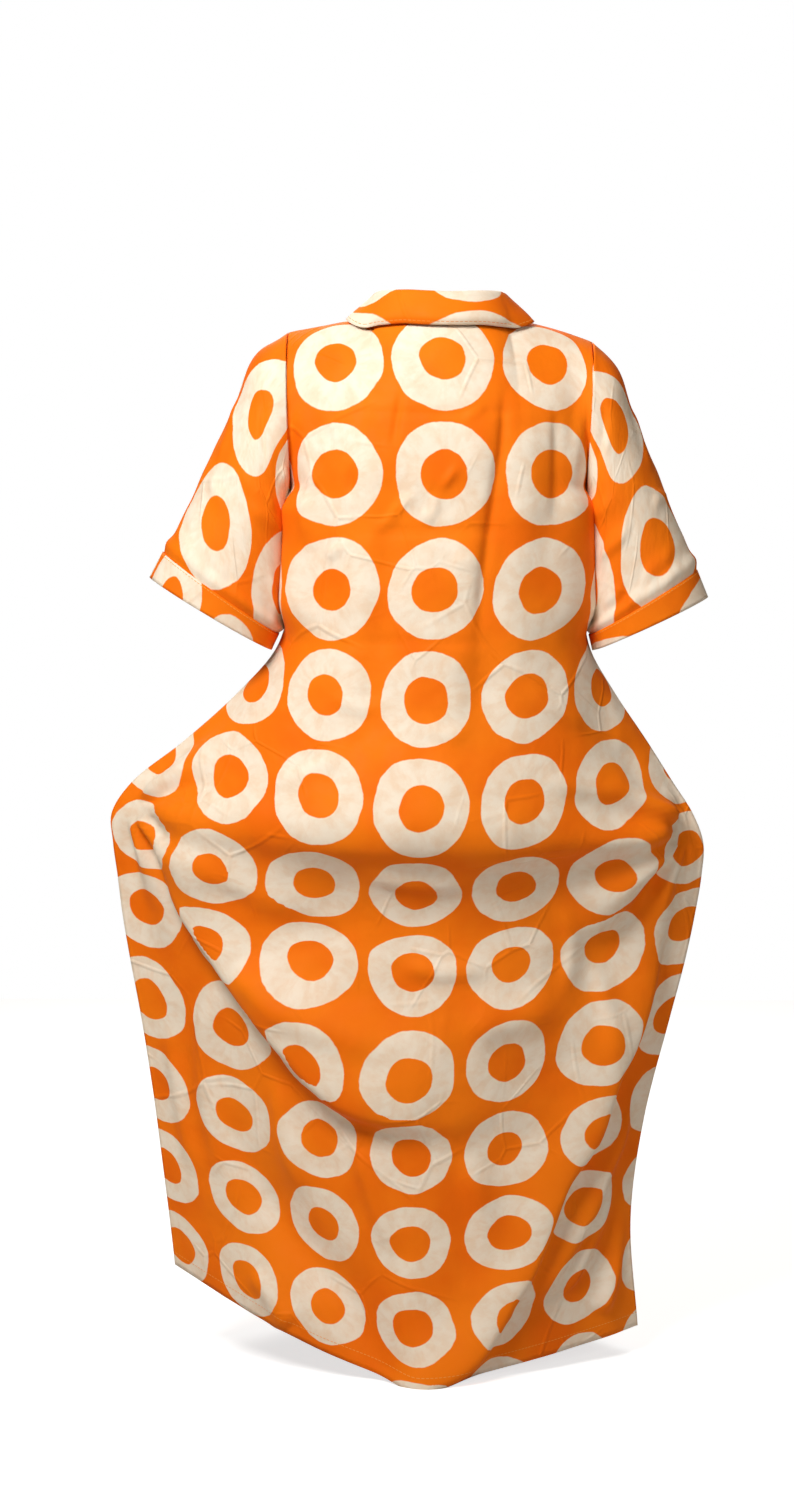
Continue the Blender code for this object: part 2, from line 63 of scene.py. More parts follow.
UNDERARM_EASE = 0.0015  # more room for the sleeve where it folds down beside the body
LIFT_FROM = 0.62  # the height at which the rows start to slant towards the hem
HEM_LIFT = {"left": 0.118, "right": 0.036, "back": 0.0, "front": 0.045}  # off the floor
CUFF_BAND = 0.026  # height of the band turned up on each sleeve

# The shells
WALL = 0.0012  # thickness of the cloth shown, inside the solids' 2 mm
YOKE_ROWS = {"back": 70, "front": 50}
SKIRT_ROWS = {"back": 172, "front": 120}
COLUMNS = {"back": 190, "front": 120}  # even, and a whole number of them in the neckline
SLEEVE_RINGS, SLEEVE_SIDES, CUFF_RINGS = 100, 120, 8
COLLAR_LINES = 22
HAND_SIGN = {"left": 1.0, "right": -1.0}

# The body of the robe, section by section down from the underarm. left, right and middle are X; back,
# front and seam are Y. power and pinch shape the back from its middle to the side seams: a pinch over 1
# draws the two layers together there, as a hand does.
Section = namedtuple(
    "Section", "height left right middle back front seam power pinch front_power front_pinch"
)
SECTIONS = (
    Section(1.170, 0.2000, -0.1950, -0.006, 0.130, -0.135, 0.000, 2.90, 0.52, 2.7, 0.52),
    Section(1.080, 0.2000, -0.1930, 0.002, 0.134, -0.148, 0.000, 2.80, 0.54, 2.6, 0.54),
    Section(1.010, 0.2040, -0.1930, 0.009, 0.137, -0.152, 0.000, 2.70, 0.58, 2.5, 0.58),
    Section(0.955, 0.2220, -0.2030, 0.014, 0.141, -0.153, 0.000, 2.50, 0.68, 2.4, 0.66),
    Section(0.900, 0.2700, -0.2340, 0.018, 0.148, -0.153, 0.000, 2.35, 0.82, 2.3, 0.80),
    Section(0.830, 0.3480, -0.2810, 0.021, 0.162, -0.152, 0.000, 2.20, 1.00, 2.2, 0.95),
    Section(0.775, 0.4180, -0.3160, 0.023, 0.180, -0.150, 0.000, 2.10, 1.15, 2.1, 1.05),
    Section(0.735, 0.4450, -0.3420, 0.026, 0.184, -0.148, 0.000, 2.05, 1.25, 2.0, 1.10),
    Section(0.695, 0.4440, -0.3570, 0.029, 0.172, -0.146, 0.000, 2.05, 1.25, 2.0, 1.10),
    Section(0.650, 0.4380, -0.3550, 0.031, 0.149, -0.146, 0.001, 2.05, 1.20, 1.9, 1.05),
    Section(0.600, 0.4320, -0.3470, 0.033, 0.136, -0.148, 0.002, 2.00, 1.15, 1.9, 1.05),
    Section(0.540, 0.4230, -0.3350, 0.035, 0.140, -0.152, 0.004, 1.95, 1.10, 1.8, 1.00),
    Section(0.450, 0.4090, -0.3130, 0.037, 0.154, -0.160, 0.008, 1.85, 1.10, 1.8, 1.00),
    Section(0.300, 0.3910, -0.2780, 0.038, 0.157, -0.176, 0.015, 1.70, 1.08, 1.8, 0.98),
    Section(0.150, 0.3760, -0.2600, 0.037, 0.172, -0.192, 0.023, 1.55, 1.04, 1.8, 0.96),
    Section(0.000, 0.3600, -0.2700, 0.035, 0.198, -0.206, 0.030, 1.50, 1.00, 1.8, 0.95),
)

# Folds, each along a path of (X, height). depth is how far the crest stands out, or in if negative. soft
# and sharp are its half-widths to the right and to the left of the path as it runs; lean pushes the crest
# over to the sharp side; wide is how much wider it is at the path's end; start and end are the shares that
# fade; tuck is how much cloth, and print, the sharp side hides.
FOLD_DEFAULTS = (0.3, 1.0, 0.3, 0.3, 0.0)  # from lean to tuck
Fold = namedtuple("Fold", "path depth soft sharp lean wide start end tuck", defaults=FOLD_DEFAULTS)
BACK_FOLDS = (
    # the long swag from the left hand to the middle of the skirt
    Fold(((0.378, 0.765), (0.326, 0.633), (0.277, 0.559), (0.210, 0.473), (0.127, 0.387), (0.052, 0.358),
          (-0.013, 0.345), (-0.104, 0.360)), 0.032, 0.070, 0.021, 0.50, 1.3, 0.14, 0.42, 0.020),
    # the swag across the hips from hand to hand
    Fold(((0.380, 0.755), (0.230, 0.727), (0.120, 0.716), (-0.030, 0.712), (-0.180, 0.716),
          (-0.300, 0.712)), 0.014, 0.055, 0.030, 0.30, 1.0, 0.22, 0.22),
    # two more that leave the left hand, below it
    Fold(((0.390, 0.762), (0.337, 0.719), (0.268, 0.676), (0.183, 0.628), (0.078, 0.595)),
         0.016, 0.034, 0.018, 0.30, 1.5, 0.22, 0.50, 0.010),
    Fold(((0.250, 0.560), (0.222, 0.524), (0.183, 0.491), (0.078, 0.452), (0.000, 0.445)),
         0.012, 0.022, 0.018, 0.30, 1.3, 0.25, 0.40),
    # two folds from the right hand towards the middle, and a slack one between them and the left
    Fold(((-0.330, 0.749), (-0.298, 0.736), (-0.262, 0.712), (-0.209, 0.705), (-0.157, 0.700)),
         0.012, 0.018, 0.028, -0.20, 1.3, 0.22, 0.50),
    Fold(((-0.330, 0.719), (-0.281, 0.685), (-0.231, 0.621), (-0.196, 0.595), (-0.157, 0.576)),
         0.017, 0.022, 0.040, -0.30, 1.3, 0.22, 0.45, 0.010),
    Fold(((-0.175, 0.486), (-0.090, 0.470), (-0.020, 0.462)), 0.011, 0.020, 0.026, 0.0, 1.2, 0.35, 0.35),
    # the long fold from the foot of the skirt up to the right hand, and the one beside it
    Fold(((0.021, 0.005), (-0.035, 0.035), (-0.082, 0.106), (-0.116, 0.169), (-0.149, 0.248),
          (-0.189, 0.306), (-0.219, 0.389), (-0.254, 0.453), (-0.291, 0.563), (-0.330, 0.679)),
         0.023, 0.046, 0.017, 0.50, 0.8, 0.00, 0.30, 0.013),
    Fold(((-0.104, 0.073), (-0.157, 0.145), (-0.189, 0.197), (-0.215, 0.252), (-0.245, 0.319),
          (-0.261, 0.387)),
         0.014, 0.025, 0.014, 0.40, 0.9, 0.15, 0.35, 0.007),
    # soft hollow from the left seam to the foot of the skirt
    Fold(((0.292, 0.347), (0.230, 0.230), (0.166, 0.148), (0.121, 0.103), (0.073, 0.025)),
         -0.018, 0.034, 0.028, 0.0, 1.3, 0.30, 0.00),
    # the sides' cloth puffs out behind the sleeves
    Fold(((0.188, 1.180), (0.188, 1.100), (0.190, 1.030), (0.200, 0.965)),
         0.013, 0.026, 0.015, 0.7, 1.0, 0.16, 0.30),
    Fold(((-0.184, 1.180), (-0.184, 1.100), (-0.186, 1.030), (-0.192, 0.965)),
         0.013, 0.015, 0.026, -0.7, 1.0, 0.16, 0.30),
    # crease down the strip that hangs below the left hand
    Fold(((0.372, 0.470), (0.358, 0.380), (0.343, 0.300), (0.322, 0.240)),
         0.007, 0.014, 0.011, 0.0, 1.0, 0.3, 0.3),
    # low rolls from the shoulder blades to the hips
    Fold(((0.062, 1.230), (0.070, 1.050), (0.085, 0.900), (0.105, 0.780)),
         -0.006, 0.026, 0.018, 0.0, 1.5, 0.3, 0.3),
    Fold(((-0.082, 1.300), (-0.080, 1.180), (-0.066, 1.050), (-0.055, 0.900), (-0.050, 0.780)),
         -0.007, 0.022, 0.016, 0.0, 1.6, 0.3, 0.3),
    Fold(((-0.160, 1.150), (-0.158, 1.020), (-0.172, 0.900), (-0.205, 0.800)),
         0.006, 0.020, 0.018, 0.0, 1.4, 0.3, 0.3),
)
FRONT_FOLDS = (
    Fold(((0.370, 0.700), (0.290, 0.490), (0.210, 0.270), (0.130, 0.050)),
         0.024, 0.050, 0.024, 0.3, 1.4, 0.15, 0.0, 0.018),
    Fold(((0.340, 0.715), (0.170, 0.600), (0.010, 0.560), (-0.140, 0.600), (-0.290, 0.690)),
         0.018, 0.030, 0.055, 0.0, 1.0, 0.15, 0.15),
    Fold(((-0.300, 0.660), (-0.235, 0.460), (-0.160, 0.250), (-0.110, 0.050)),
         0.024, 0.026, 0.050, 0.0, 1.4, 0.15, 0.0, 0.010),
    Fold(((0.060, 1.020), (0.055, 0.700), (0.045, 0.350), (0.030, 0.050)),
         0.012, 0.040, 0.040, 0.0, 1.4, 0.3, 0.0),
    Fold(((-0.090, 1.120), (-0.100, 0.900), (-0.120, 0.680)), 0.008, 0.026, 0.022, 0.0, 1.3, 0.3, 0.3),
    Fold(((0.110, 1.120), (0.130, 0.900), (0.170, 0.700)), 0.008, 0.026, 0.022, 0.0, 1.3, 0.3, 0.3),
)

# Kinds of creases that come again and again, each by its lean, wide, start and end
SHORT = (0.0, 1.0, 0.4, 0.4)
LEVEL = (0.0, 1.0, 0.2, 0.2)
CROSSING = (0.4, 1.2, 0.25, 0.3)
SLACK = (0.2, 1.2, 0.3, 0.4)
HANGING = (0.2, 1.3, 0.3, 0.4)
PULL = (0.3, 1.6, 0.15, 0.5)
LONG_PULL = (0.3, 1.7, 0.15, 0.5)

# Creases too fine for the solids, on the same terms as the folds
BACK_CREASES = (
    # pressed creases down and across the back
    Fold(((0.05, 1.303), (0.057, 1.262), (0.063, 1.221)), -0.0034, 0.006, 0.005, lean=0.0),
    Fold(((-0.085, 1.312), (-0.081, 1.231), (-0.073, 1.177), (-0.058, 1.072), (-0.052, 1.0),
          (-0.05, 0.93)), -0.0042, 0.008, 0.006, 0.0, 1.2, 0.15, 0.4),
    Fold(((0.13, 1.272), (0.0, 1.269), (-0.12, 1.274)), -0.0019, 0.006, 0.005, *LEVEL),
    Fold(((0.12, 1.112), (0.02, 1.116), (-0.11, 1.118)), -0.0019, 0.006, 0.005, *LEVEL),
    Fold(((0.16, 0.965), (0.04, 0.972), (-0.09, 0.968)), -0.0017, 0.006, 0.005, *LEVEL),
    # short pulls between the shoulder blades
    Fold(((-0.025, 1.202), (0.001, 1.17)), 0.0038, 0.006, 0.005, *SHORT),
    Fold(((0.021, 1.168), (0.05, 1.151), (0.073, 1.125), (0.105, 1.108)), 0.0038, 0.008, 0.006, end=0.4),
    Fold(((0.122, 1.1), (0.15, 1.082)), 0.0042, 0.007, 0.005),
    Fold(((0.116, 1.205), (0.118, 1.157)), -0.0034, 0.006, 0.006, *SHORT),
    Fold(((0.145, 1.25), (0.145, 1.22)), -0.0029, 0.006, 0.005, *SHORT),
    Fold(((0.16, 1.215), (0.166, 1.15), (0.164, 1.08)), 0.0053, 0.009, 0.007, wide=1.2, end=0.4),
    Fold(((0.027, 1.138), (0.004, 1.13)), 0.0046, 0.006, 0.005, *SHORT),
    Fold(((0.01, 1.165), (0.002, 1.135)), 0.003, 0.005, 0.005, *SHORT),
    Fold(((-0.012, 1.082), (-0.05, 1.069)), 0.0034, 0.007, 0.005, *SHORT),
    Fold(((-0.062, 1.276), (-0.026, 1.262)), 0.003, 0.006, 0.005, *SHORT),
    # the armholes pull the back's sides
    Fold(((-0.19, 1.304), (-0.182, 1.226), (-0.171, 1.159), (-0.166, 1.09)),
         0.0064, 0.014, 0.01, 0.4, 1.2, 0.25, 0.4),
    Fold(((-0.15, 1.29), (-0.152, 1.2), (-0.146, 1.11)), -0.0034, 0.008, 0.006, lean=0.0, end=0.4),
    Fold(((0.188, 1.29), (0.178, 1.22), (0.172, 1.15)), 0.0051, 0.012, 0.01, -0.3, 1.2, 0.3, 0.4),
    # the small of the back
    Fold(((0.15, 0.905), (0.105, 0.885), (0.06, 0.893)), 0.0042, 0.01, 0.008, 0.2, 1.1, 0.3, 0.4),
    Fold(((0.035, 0.865), (-0.01, 0.85), (-0.045, 0.855)), 0.0038, 0.01, 0.007, 0.2, 1.1, 0.4, 0.4),
    Fold(((-0.11, 0.92), (-0.15, 0.88), (-0.205, 0.85)), 0.0048, 0.012, 0.009, wide=1.2),
    Fold(((0.12, 0.83), (0.175, 0.8), (0.23, 0.79)), 0.0051, 0.012, 0.009, wide=1.2),
    Fold(((-0.12, 0.795), (-0.19, 0.775), (-0.255, 0.77)), 0.0048, 0.011, 0.009, lean=0.2, wide=1.2),
    # pulls that fan out from the hands
    Fold(((0.405, 0.775), (0.35, 0.79), (0.29, 0.835)), 0.0072, 0.012, 0.009, *PULL),
    Fold(((0.405, 0.765), (0.34, 0.758), (0.265, 0.77)), 0.0077, 0.011, 0.009, *LONG_PULL),
    Fold(((0.4, 0.74), (0.372, 0.69), (0.35, 0.64)), 0.0081, 0.011, 0.009, *PULL),
    Fold(((0.412, 0.735), (0.4, 0.67), (0.392, 0.6)), 0.0073, 0.01, 0.009, 0.0, 1.5, 0.15, 0.5),
    Fold(((-0.32, 0.745), (-0.285, 0.775), (-0.25, 0.83)), 0.0072, 0.01, 0.009, *PULL),
    Fold(((-0.322, 0.73), (-0.27, 0.745), (-0.215, 0.775)), 0.0077, 0.01, 0.009, *LONG_PULL),
    Fold(((-0.325, 0.7), (-0.3, 0.64), (-0.29, 0.575)), 0.0077, 0.01, 0.009, *PULL),
    Fold(((-0.335, 0.69), (-0.33, 0.61), (-0.318, 0.54)), 0.0087, 0.009, 0.008, 0.0, 1.4, 0.15, 0.5),
    # slack cloth between the swags, and down the skirt
    Fold(((0.11, 0.672), (0.02, 0.655), (-0.06, 0.66)), 0.0072, 0.014, 0.01, *SLACK),
    Fold(((0.06, 0.545), (-0.01, 0.535), (-0.08, 0.54)), 0.0073, 0.014, 0.01, *SLACK),
    Fold(((-0.15, 0.64), (-0.175, 0.56), (-0.16, 0.48)), 0.0087, 0.014, 0.01, *SLACK),
    Fold(((-0.205, 0.545), (-0.22, 0.47), (-0.215, 0.4)), 0.0095, 0.012, 0.01, *SLACK),
    Fold(((0.3, 0.52), (0.318, 0.42), (0.305, 0.31), (0.27, 0.21)),
         0.008, 0.018, 0.012, 0.2, 1.3, 0.25, 0.4),
    Fold(((0.215, 0.4), (0.205, 0.31), (0.17, 0.22)), 0.0095, 0.018, 0.014, *HANGING),
    Fold(((0.11, 0.33), (0.085, 0.24), (0.05, 0.15)), 0.0095, 0.018, 0.014, *HANGING),
    Fold(((-0.03, 0.3), (-0.055, 0.22), (-0.06, 0.14)), 0.0095, 0.018, 0.014, *HANGING),
    Fold(((-0.16, 0.09), (-0.205, 0.17), (-0.235, 0.26)), 0.0095, 0.014, 0.01, 0.3, 1.2, 0.2, 0.4),
    Fold(((-0.215, 0.06), (-0.245, 0.14), (-0.262, 0.23)), 0.0095, 0.012, 0.01, 0.3, 1.2, 0.1, 0.4),
    Fold(((0.255, 0.13), (0.225, 0.1), (0.2, 0.06)), 0.0095, 0.014, 0.012, 0.0, 1.2, 0.3, 0.1),
)
FRONT_CREASES = (
    Fold(((0.15, 1.215), (0.13, 1.16), (0.135, 1.09)), 0.003, 0.011, 0.009, wide=1.2, end=0.4),
    Fold(((-0.15, 1.205), (-0.128, 1.15), (-0.13, 1.08)), 0.003, 0.011, 0.009, wide=1.2, end=0.4),
    Fold(((0.02, 1.15), (0.015, 1.05), (0.02, 0.93)), -0.002, 0.007, 0.006, 0.0, 1.0, 0.2, 0.4),
    Fold(((0.405, 0.77), (0.34, 0.79), (0.27, 0.84)), 0.003, 0.012, 0.009, *PULL),
    Fold(((0.405, 0.755), (0.33, 0.74), (0.24, 0.745)), 0.0055, 0.012, 0.009, *LONG_PULL),
    Fold(((0.395, 0.7), (0.365, 0.6), (0.33, 0.5)), 0.0045, 0.012, 0.009, *PULL),
    Fold(((-0.32, 0.745), (-0.275, 0.775), (-0.225, 0.83)), 0.0045, 0.011, 0.009, *PULL),
    Fold(((-0.322, 0.725), (-0.26, 0.72), (-0.19, 0.735)), 0.005, 0.011, 0.009, *LONG_PULL),
    Fold(((-0.315, 0.67), (-0.285, 0.57), (-0.255, 0.47)), 0.0042, 0.011, 0.009, *PULL),
    Fold(((0.2, 0.56), (0.19, 0.42), (0.16, 0.28)), 0.004, 0.018, 0.013, *HANGING),
    Fold(((-0.05, 0.52), (-0.06, 0.38), (-0.05, 0.22)), 0.004, 0.018, 0.013, *HANGING),
)

# Creases on the sleeves. Their paths run over the cloth: metres round from the middle of the sleeve's back,
# and metres from the armhole, below zero.
SLEEVE_FOLDS = {
    "left": (
        Fold(((-0.04, -0.146), (0.016, -0.105), (0.069, -0.074)), 0.0045, 0.01, 0.008, *CROSSING),
        Fold(((-0.008, -0.146), (0.046, -0.108), (0.101, -0.074)), 0.004, 0.009, 0.008, *CROSSING),
        Fold(((-0.092, -0.216), (-0.066, -0.209), (-0.04, -0.188)), 0.0028, 0.009, 0.007, wide=1.1),
        Fold(((-0.118, -0.309), (-0.074, -0.299), (-0.048, -0.28)), 0.003, 0.01, 0.008, wide=1.1),
        Fold(((-0.033, -0.254), (-0.015, -0.245), (0.004, -0.233)), 0.0026, 0.008, 0.006),
        Fold(((0.006, -0.236), (0.029, -0.228), (0.05, -0.232)), 0.0028, 0.008, 0.007),
        Fold(((0.05, -0.045), (0.08, -0.02), (0.1, -0.012)), 0.004, 0.01, 0.008, end=0.2),
        Fold(((-0.045, -0.036), (-0.023, -0.057), (0.015, -0.066)), -0.003, 0.012, 0.01, lean=0.0),
        Fold(((-0.02, -0.3), (-0.024, -0.27), (-0.012, -0.235)), -0.0022, 0.008, 0.007, lean=0.0),
        Fold(((0.06, -0.15), (0.085, -0.18), (0.092, -0.23)), 0.0034, 0.011, 0.009, lean=0.2),
        Fold(((-0.13, -0.11), (-0.1, -0.15), (-0.092, -0.2)), 0.003, 0.012, 0.009, lean=0.2),
        Fold(((0.18, -0.07), (0.235, -0.11), (0.262, -0.17)), 0.004, 0.012, 0.01, wide=1.2),
        Fold(((0.16, -0.19), (0.215, -0.21), (0.25, -0.26)), 0.0034, 0.012, 0.01, wide=1.2),
    ),
    "right": (
        Fold(((0.138, -0.036), (0.112, -0.03), (0.053, -0.082), (-0.014, -0.13)),
             0.0042, 0.009, 0.008, *CROSSING),
        Fold(((0.06, -0.13), (0.027, -0.149), (-0.014, -0.173)), 0.005, 0.01, 0.008, 0.4, 1.1, 0.25, 0.3),
        Fold(((0.066, -0.186), (0.038, -0.204), (0.022, -0.213)), 0.003, 0.009, 0.007),
        Fold(((0.028, -0.226), (0.013, -0.236), (-0.004, -0.247)), 0.0028, 0.008, 0.006),
        Fold(((-0.07, -0.29), (-0.03, -0.253), (0.0, -0.231)), 0.0034, 0.01, 0.008, wide=1.1),
        Fold(((-0.072, -0.302), (-0.046, -0.29), (-0.022, -0.275)), 0.0026, 0.008, 0.007),
        Fold(((-0.056, -0.203), (-0.084, -0.221), (-0.114, -0.233)), 0.003, 0.009, 0.007),
        Fold(((0.05, -0.03), (0.0, -0.034), (-0.046, -0.03)), -0.0028, 0.012, 0.01, lean=0.0),
        Fold(((0.08, -0.21), (0.092, -0.25), (0.09, -0.3)), 0.003, 0.011, 0.009, lean=0.2),
        Fold(((-0.125, -0.1), (-0.1, -0.14), (-0.094, -0.19)), 0.003, 0.012, 0.009, lean=0.2),
        Fold(((-0.18, -0.07), (-0.235, -0.11), (-0.262, -0.17)), 0.004, 0.012, 0.01, wide=1.2),
        Fold(((-0.16, -0.19), (-0.215, -0.21), (-0.25, -0.26)), 0.0034, 0.012, 0.01, wide=1.2),
    ),
}
BODY_FOLDS = {"back": BACK_FOLDS + BACK_CREASES, "front": FRONT_FOLDS + FRONT_CREASES}

# Where a hand gathers a side seam, pleats fan out over the cloth for some reach.
Grip = namedtuple("Grip", "x height pleats depth reach")
GRIPS = (
    Grip(0.425, 0.742, 11, 0.0075, 0.085),
    Grip(-0.338, 0.712, 11, 0.0070, 0.080),
)

# Each sleeve, ring by ring from the armhole to the cuff: its upper and lower line as seen from behind,
# half its depth from front to back, and the Y of its middle.
Ring = namedtuple("Ring", "upper_x upper_height lower_x lower_height half_depth middle_y")
SLEEVES = {
    "left": (
        Ring(0.2035, 1.380, 0.2000, 1.170, 0.070, 0.000),
        Ring(0.2460, 1.350, 0.2035, 1.134, 0.072, 0.001),
        Ring(0.2730, 1.292, 0.2037, 1.098, 0.072, 0.002),
        Ring(0.3080, 1.215, 0.2050, 1.055, 0.071, 0.004),
        Ring(0.3480, 1.130, 0.2090, 1.006, 0.069, 0.006),
        Ring(0.3880, 1.052, 0.2300, 0.957, 0.067, 0.008),
    ),
    "right": (
        Ring(-0.2035, 1.367, -0.1950, 1.170, 0.070, 0.000),
        Ring(-0.2370, 1.332, -0.1980, 1.134, 0.072, 0.001),
        Ring(-0.2600, 1.270, -0.1972, 1.096, 0.072, 0.002),
        Ring(-0.2900, 1.195, -0.1972, 1.052, 0.071, 0.004),
        Ring(-0.3240, 1.108, -0.1985, 1.003, 0.069, 0.006),
        Ring(-0.3570, 1.026, -0.2085, 0.956, 0.067, 0.008),
    ),
}

# The collar, from the middle of the back (along 0) by the shoulder seam to the foot of the V (along 1):
# how high its roll stands, how far its fall reaches over the cloth, and how far it stands off that cloth.
Station = namedtuple("Station", "along stand reach lift")
COLLAR = (
    Station(0.00, 0.035, 0.024, 0.0055),
    Station(0.14, 0.035, 0.028, 0.0055),
    Station(0.26, 0.033, 0.038, 0.0055),
    Station(0.38, 0.024, 0.048, 0.0055),
    Station(0.55, 0.012, 0.056, 0.0050),
    Station(0.75, 0.007, 0.060, 0.0045),
    Station(0.90, 0.006, 0.058, 0.0042),
    Station(1.00, 0.005, 0.036, 0.0040),
)
COLLAR_ENDS_SHORT = 0.14  # of the V's foot, as a share of the last length between two columns
ROLL_RADIUS = 0.005

# The rings' rows down the middle of the back, and how far apart the rings stand across the cloth there.
PrintRow = namedtuple("PrintRow", "height pitch")
PRINT_ROWS = (
    PrintRow(1.342, 0.150),
    PrintRow(1.191, 0.147),
    PrintRow(1.038, 0.141),
    PrintRow(0.896, 0.136),
    PrintRow(0.758, 0.136),
    PrintRow(0.640, 0.134),
    PrintRow(0.540, 0.131),
    PrintRow(0.405, 0.130),
    PrintRow(0.289, 0.128),
    PrintRow(0.180, 0.126),
    PrintRow(0.073, 0.124),
)
# How far the rows of rings rise towards each side seam below the hips, and how late they do
PrintRise = namedtuple("PrintRise", "height power")
PRINT_RISE = {"left": PrintRise(0.076, 1.3), "right": PrintRise(0.050, 1.6)}
RISE_FROM, RISE_FULL = 1.00, 0.70

# Where a ring's centre lies on each small piece, from the middle of its back, and the slope of the rows
PrintPlace = namedtuple("PrintPlace", "across along slope pitch_across pitch_along cell")
SMALL_PRINTS = {
    "sleeve_left": PrintPlace(-0.044, 0.225, 0.53, 0.146, 0.162, 20),
    "sleeve_right": PrintPlace(-0.042, 0.243, 0.76, 0.142, 0.178, 40),
    "cuff_left": PrintPlace(-0.055, 0.045, -0.30, 0.105, 0.150, 60),
    "cuff_right": PrintPlace(-0.105, 0.080, 0.0, 0.190, 0.150, 80),
    "collar": PrintPlace(0.105, 0.135, 0.0, 0.145, 0.145, 100),
}

# Stitch lines: how far from the finished edge each runs
HEM_STITCH = 0.018
COLLAR_STITCH = 0.005
CUFF_STITCH = 0.003
NO_STITCH = 1.0

# The print, in shares of a ring's own pitch
RING_OUTER, RING_INNER = 0.455, 0.205
RING_LESS, RING_MORE = 0.012, 0.010  # how much each edge varies from ring to ring
RING_SHRINK, SHRINK_FROM, SHRINK_FULL = 0.028, -6.0, -9.0  # the rings of the lowest rows are smaller
EDGE_SOFT = 0.006
OUTLINE, OUTLINE_STRENGTH = 0.011, 0.55
Wobble = namedtuple("Wobble", "scale detail push")  # the unevenness of the rings' edges
WOBBLES = (Wobble(2.6, 1.0, 0.075), Wobble(14.0, 2.0, 0.014))
STREAK_SPREAD, STREAK_TWIST = 2.2, 4.0
STREAKS, BLOTCHES = 0.5, 0.45  # how much each adds to a ring's unevenness

# Colours, linear
ORANGE = (0.900, 0.190, 0.003, 1.0)
ORANGE_DEEP = (0.850, 0.140, 0.001, 1.0)
CREAM = (0.860, 0.740, 0.590, 1.0)
BEIGE = (0.810, 0.610, 0.430, 1.0)
OUTLINE_PALE = (0.900, 0.740, 0.500, 1.0)
THREAD = (0.900, 0.330, 0.060, 1.0)

# How finely things are smoothed or spread
SEAM_HOLD = 0.12  # the share of a panel's half, or of a sleeve, over which its seam flattens the folds
BAND_HOLD = 0.35  # how much sooner they are flat at the cuff, as a share of that
TUCK_EDGE = 0.006  # the width over which a fold's sharp side carries the print away
TUCK_REACH = 4.0  # how far that reaches, in tucks
NORMAL_SMOOTHING, LINE_SMOOTHING = 60, 12
CUFF_LIFT = 0.0030  # of the turned-up band off the sleeve's own line
ROLL_SWELL, ROLL_ABOVE, ROLL_WIDTH = 0.0050, 0.009, 0.007  # the sleeve's own swell just over the band

# Soft unevenness of all the cloth
Uneven = namedtuple("Uneven", "size amount seed")
UNEVEN = (Uneven(0.090, 0.0040, 1.0), Uneven(0.035, 0.0012, 2.0))
SLEEVE_SEED = 3.1  # added on the sleeves

# The view, and the studio
CAMERA_PLACE = (0.0, 4.2, 1.150)  # X, Y and height
CAMERA_AIM = (0.0138, -1.0, -0.0784)
PICTURE_HEIGHT_SHARE = 0.4815172  # the picture's height over the lens's distance to it
SENSOR = 36.0
FARTHEST = 60.0  # the camera sees no further
WHITE = (1.0, 1.0, 1.0, 1.0)
WORLD_LIGHT, WORLD_SEEN = 0.11, 1.0  # how bright the world lights the robe, and how bright it looks
WORLD_WARM = (1.000, 0.800, 0.580, 1.0)  # its light; it looks white
FLOOR_SIZE, FLOOR_GAP = 6.0, 0.0015
FLOOR_ROUGHNESS, FLOOR_GLOW = 0.9, 0.70
FLOOR_PALE = (0.600, 0.590, 0.580, 1.0)
Light = namedtuple("Light", "name place aim width height watts")  # in metres above the floor
LIGHTS = (
    Light("key", (1.0, 1.6, 2.6), (0.0, 0.1, 1.15), 1.0, 1.0, 66.0),
    Light("fill", (-1.8, 2.6, 2.0), (-0.2, 0.0, 0.8), 1.2, 1.2, 20.0),
    Light("front", (0.2, -2.4, 2.9), (0.0, 0.0, 0.95), 2.0, 2.0, 60.0),
)

# The noise behind the cloth's colour, crumples, bent creases and gloss, and the rings' streaks
Noise = namedtuple("Noise", "scale detail roughness")
BROAD = Noise(7.0, 3.0, 0.5)
BLOTCHED = Noise(30.0, 4.0, 0.65)
STREAKED = Noise(1.7, 3.0, 0.55)
CRUMPLED = Noise(18.0, 3.0, 0.55)
BENT = Noise(5.0, 1.0, 0.5)
GLOSS = Noise(40.0, 2.0, 0.5)

# The weave, the pressed creases and the stitches, in metres
THREAD_PITCH, THREAD_HEIGHT = 0.0009, 0.00002
Pressed = namedtuple("Pressed", "cells width height seed")  # cells a metre
PRESSED = (Pressed(6.0, 0.005, 0.0009, 3.0), Pressed(11.0, 0.004, 0.0007, 8.0))
PRESSED_BEND, PRESSED_FROM, PRESSED_FULL = 0.05, 0.48, 0.62
SOFT_CRUMPLE = 0.0020
STITCH_WIDTH, STITCH_LENGTH, STITCH_HEIGHT = 0.0005, 0.0026, 0.0002
ROUGH_LOW, ROUGH_HIGH = 0.58, 0.70
SHEEN, SHEEN_ROUGHNESS, SPECULAR = 0.02, 0.45, 0.09

# Each piece's own cut, laid flat
Cut = namedtuple("Cut", "width length area held")

Cloth = namedtuple("Cloth", "grid places")  # a piece's points, and their coordinates for the material


def column(table, name):
    """One named column of a table."""
    return np.array([getattr(row, name) for row in table], float)


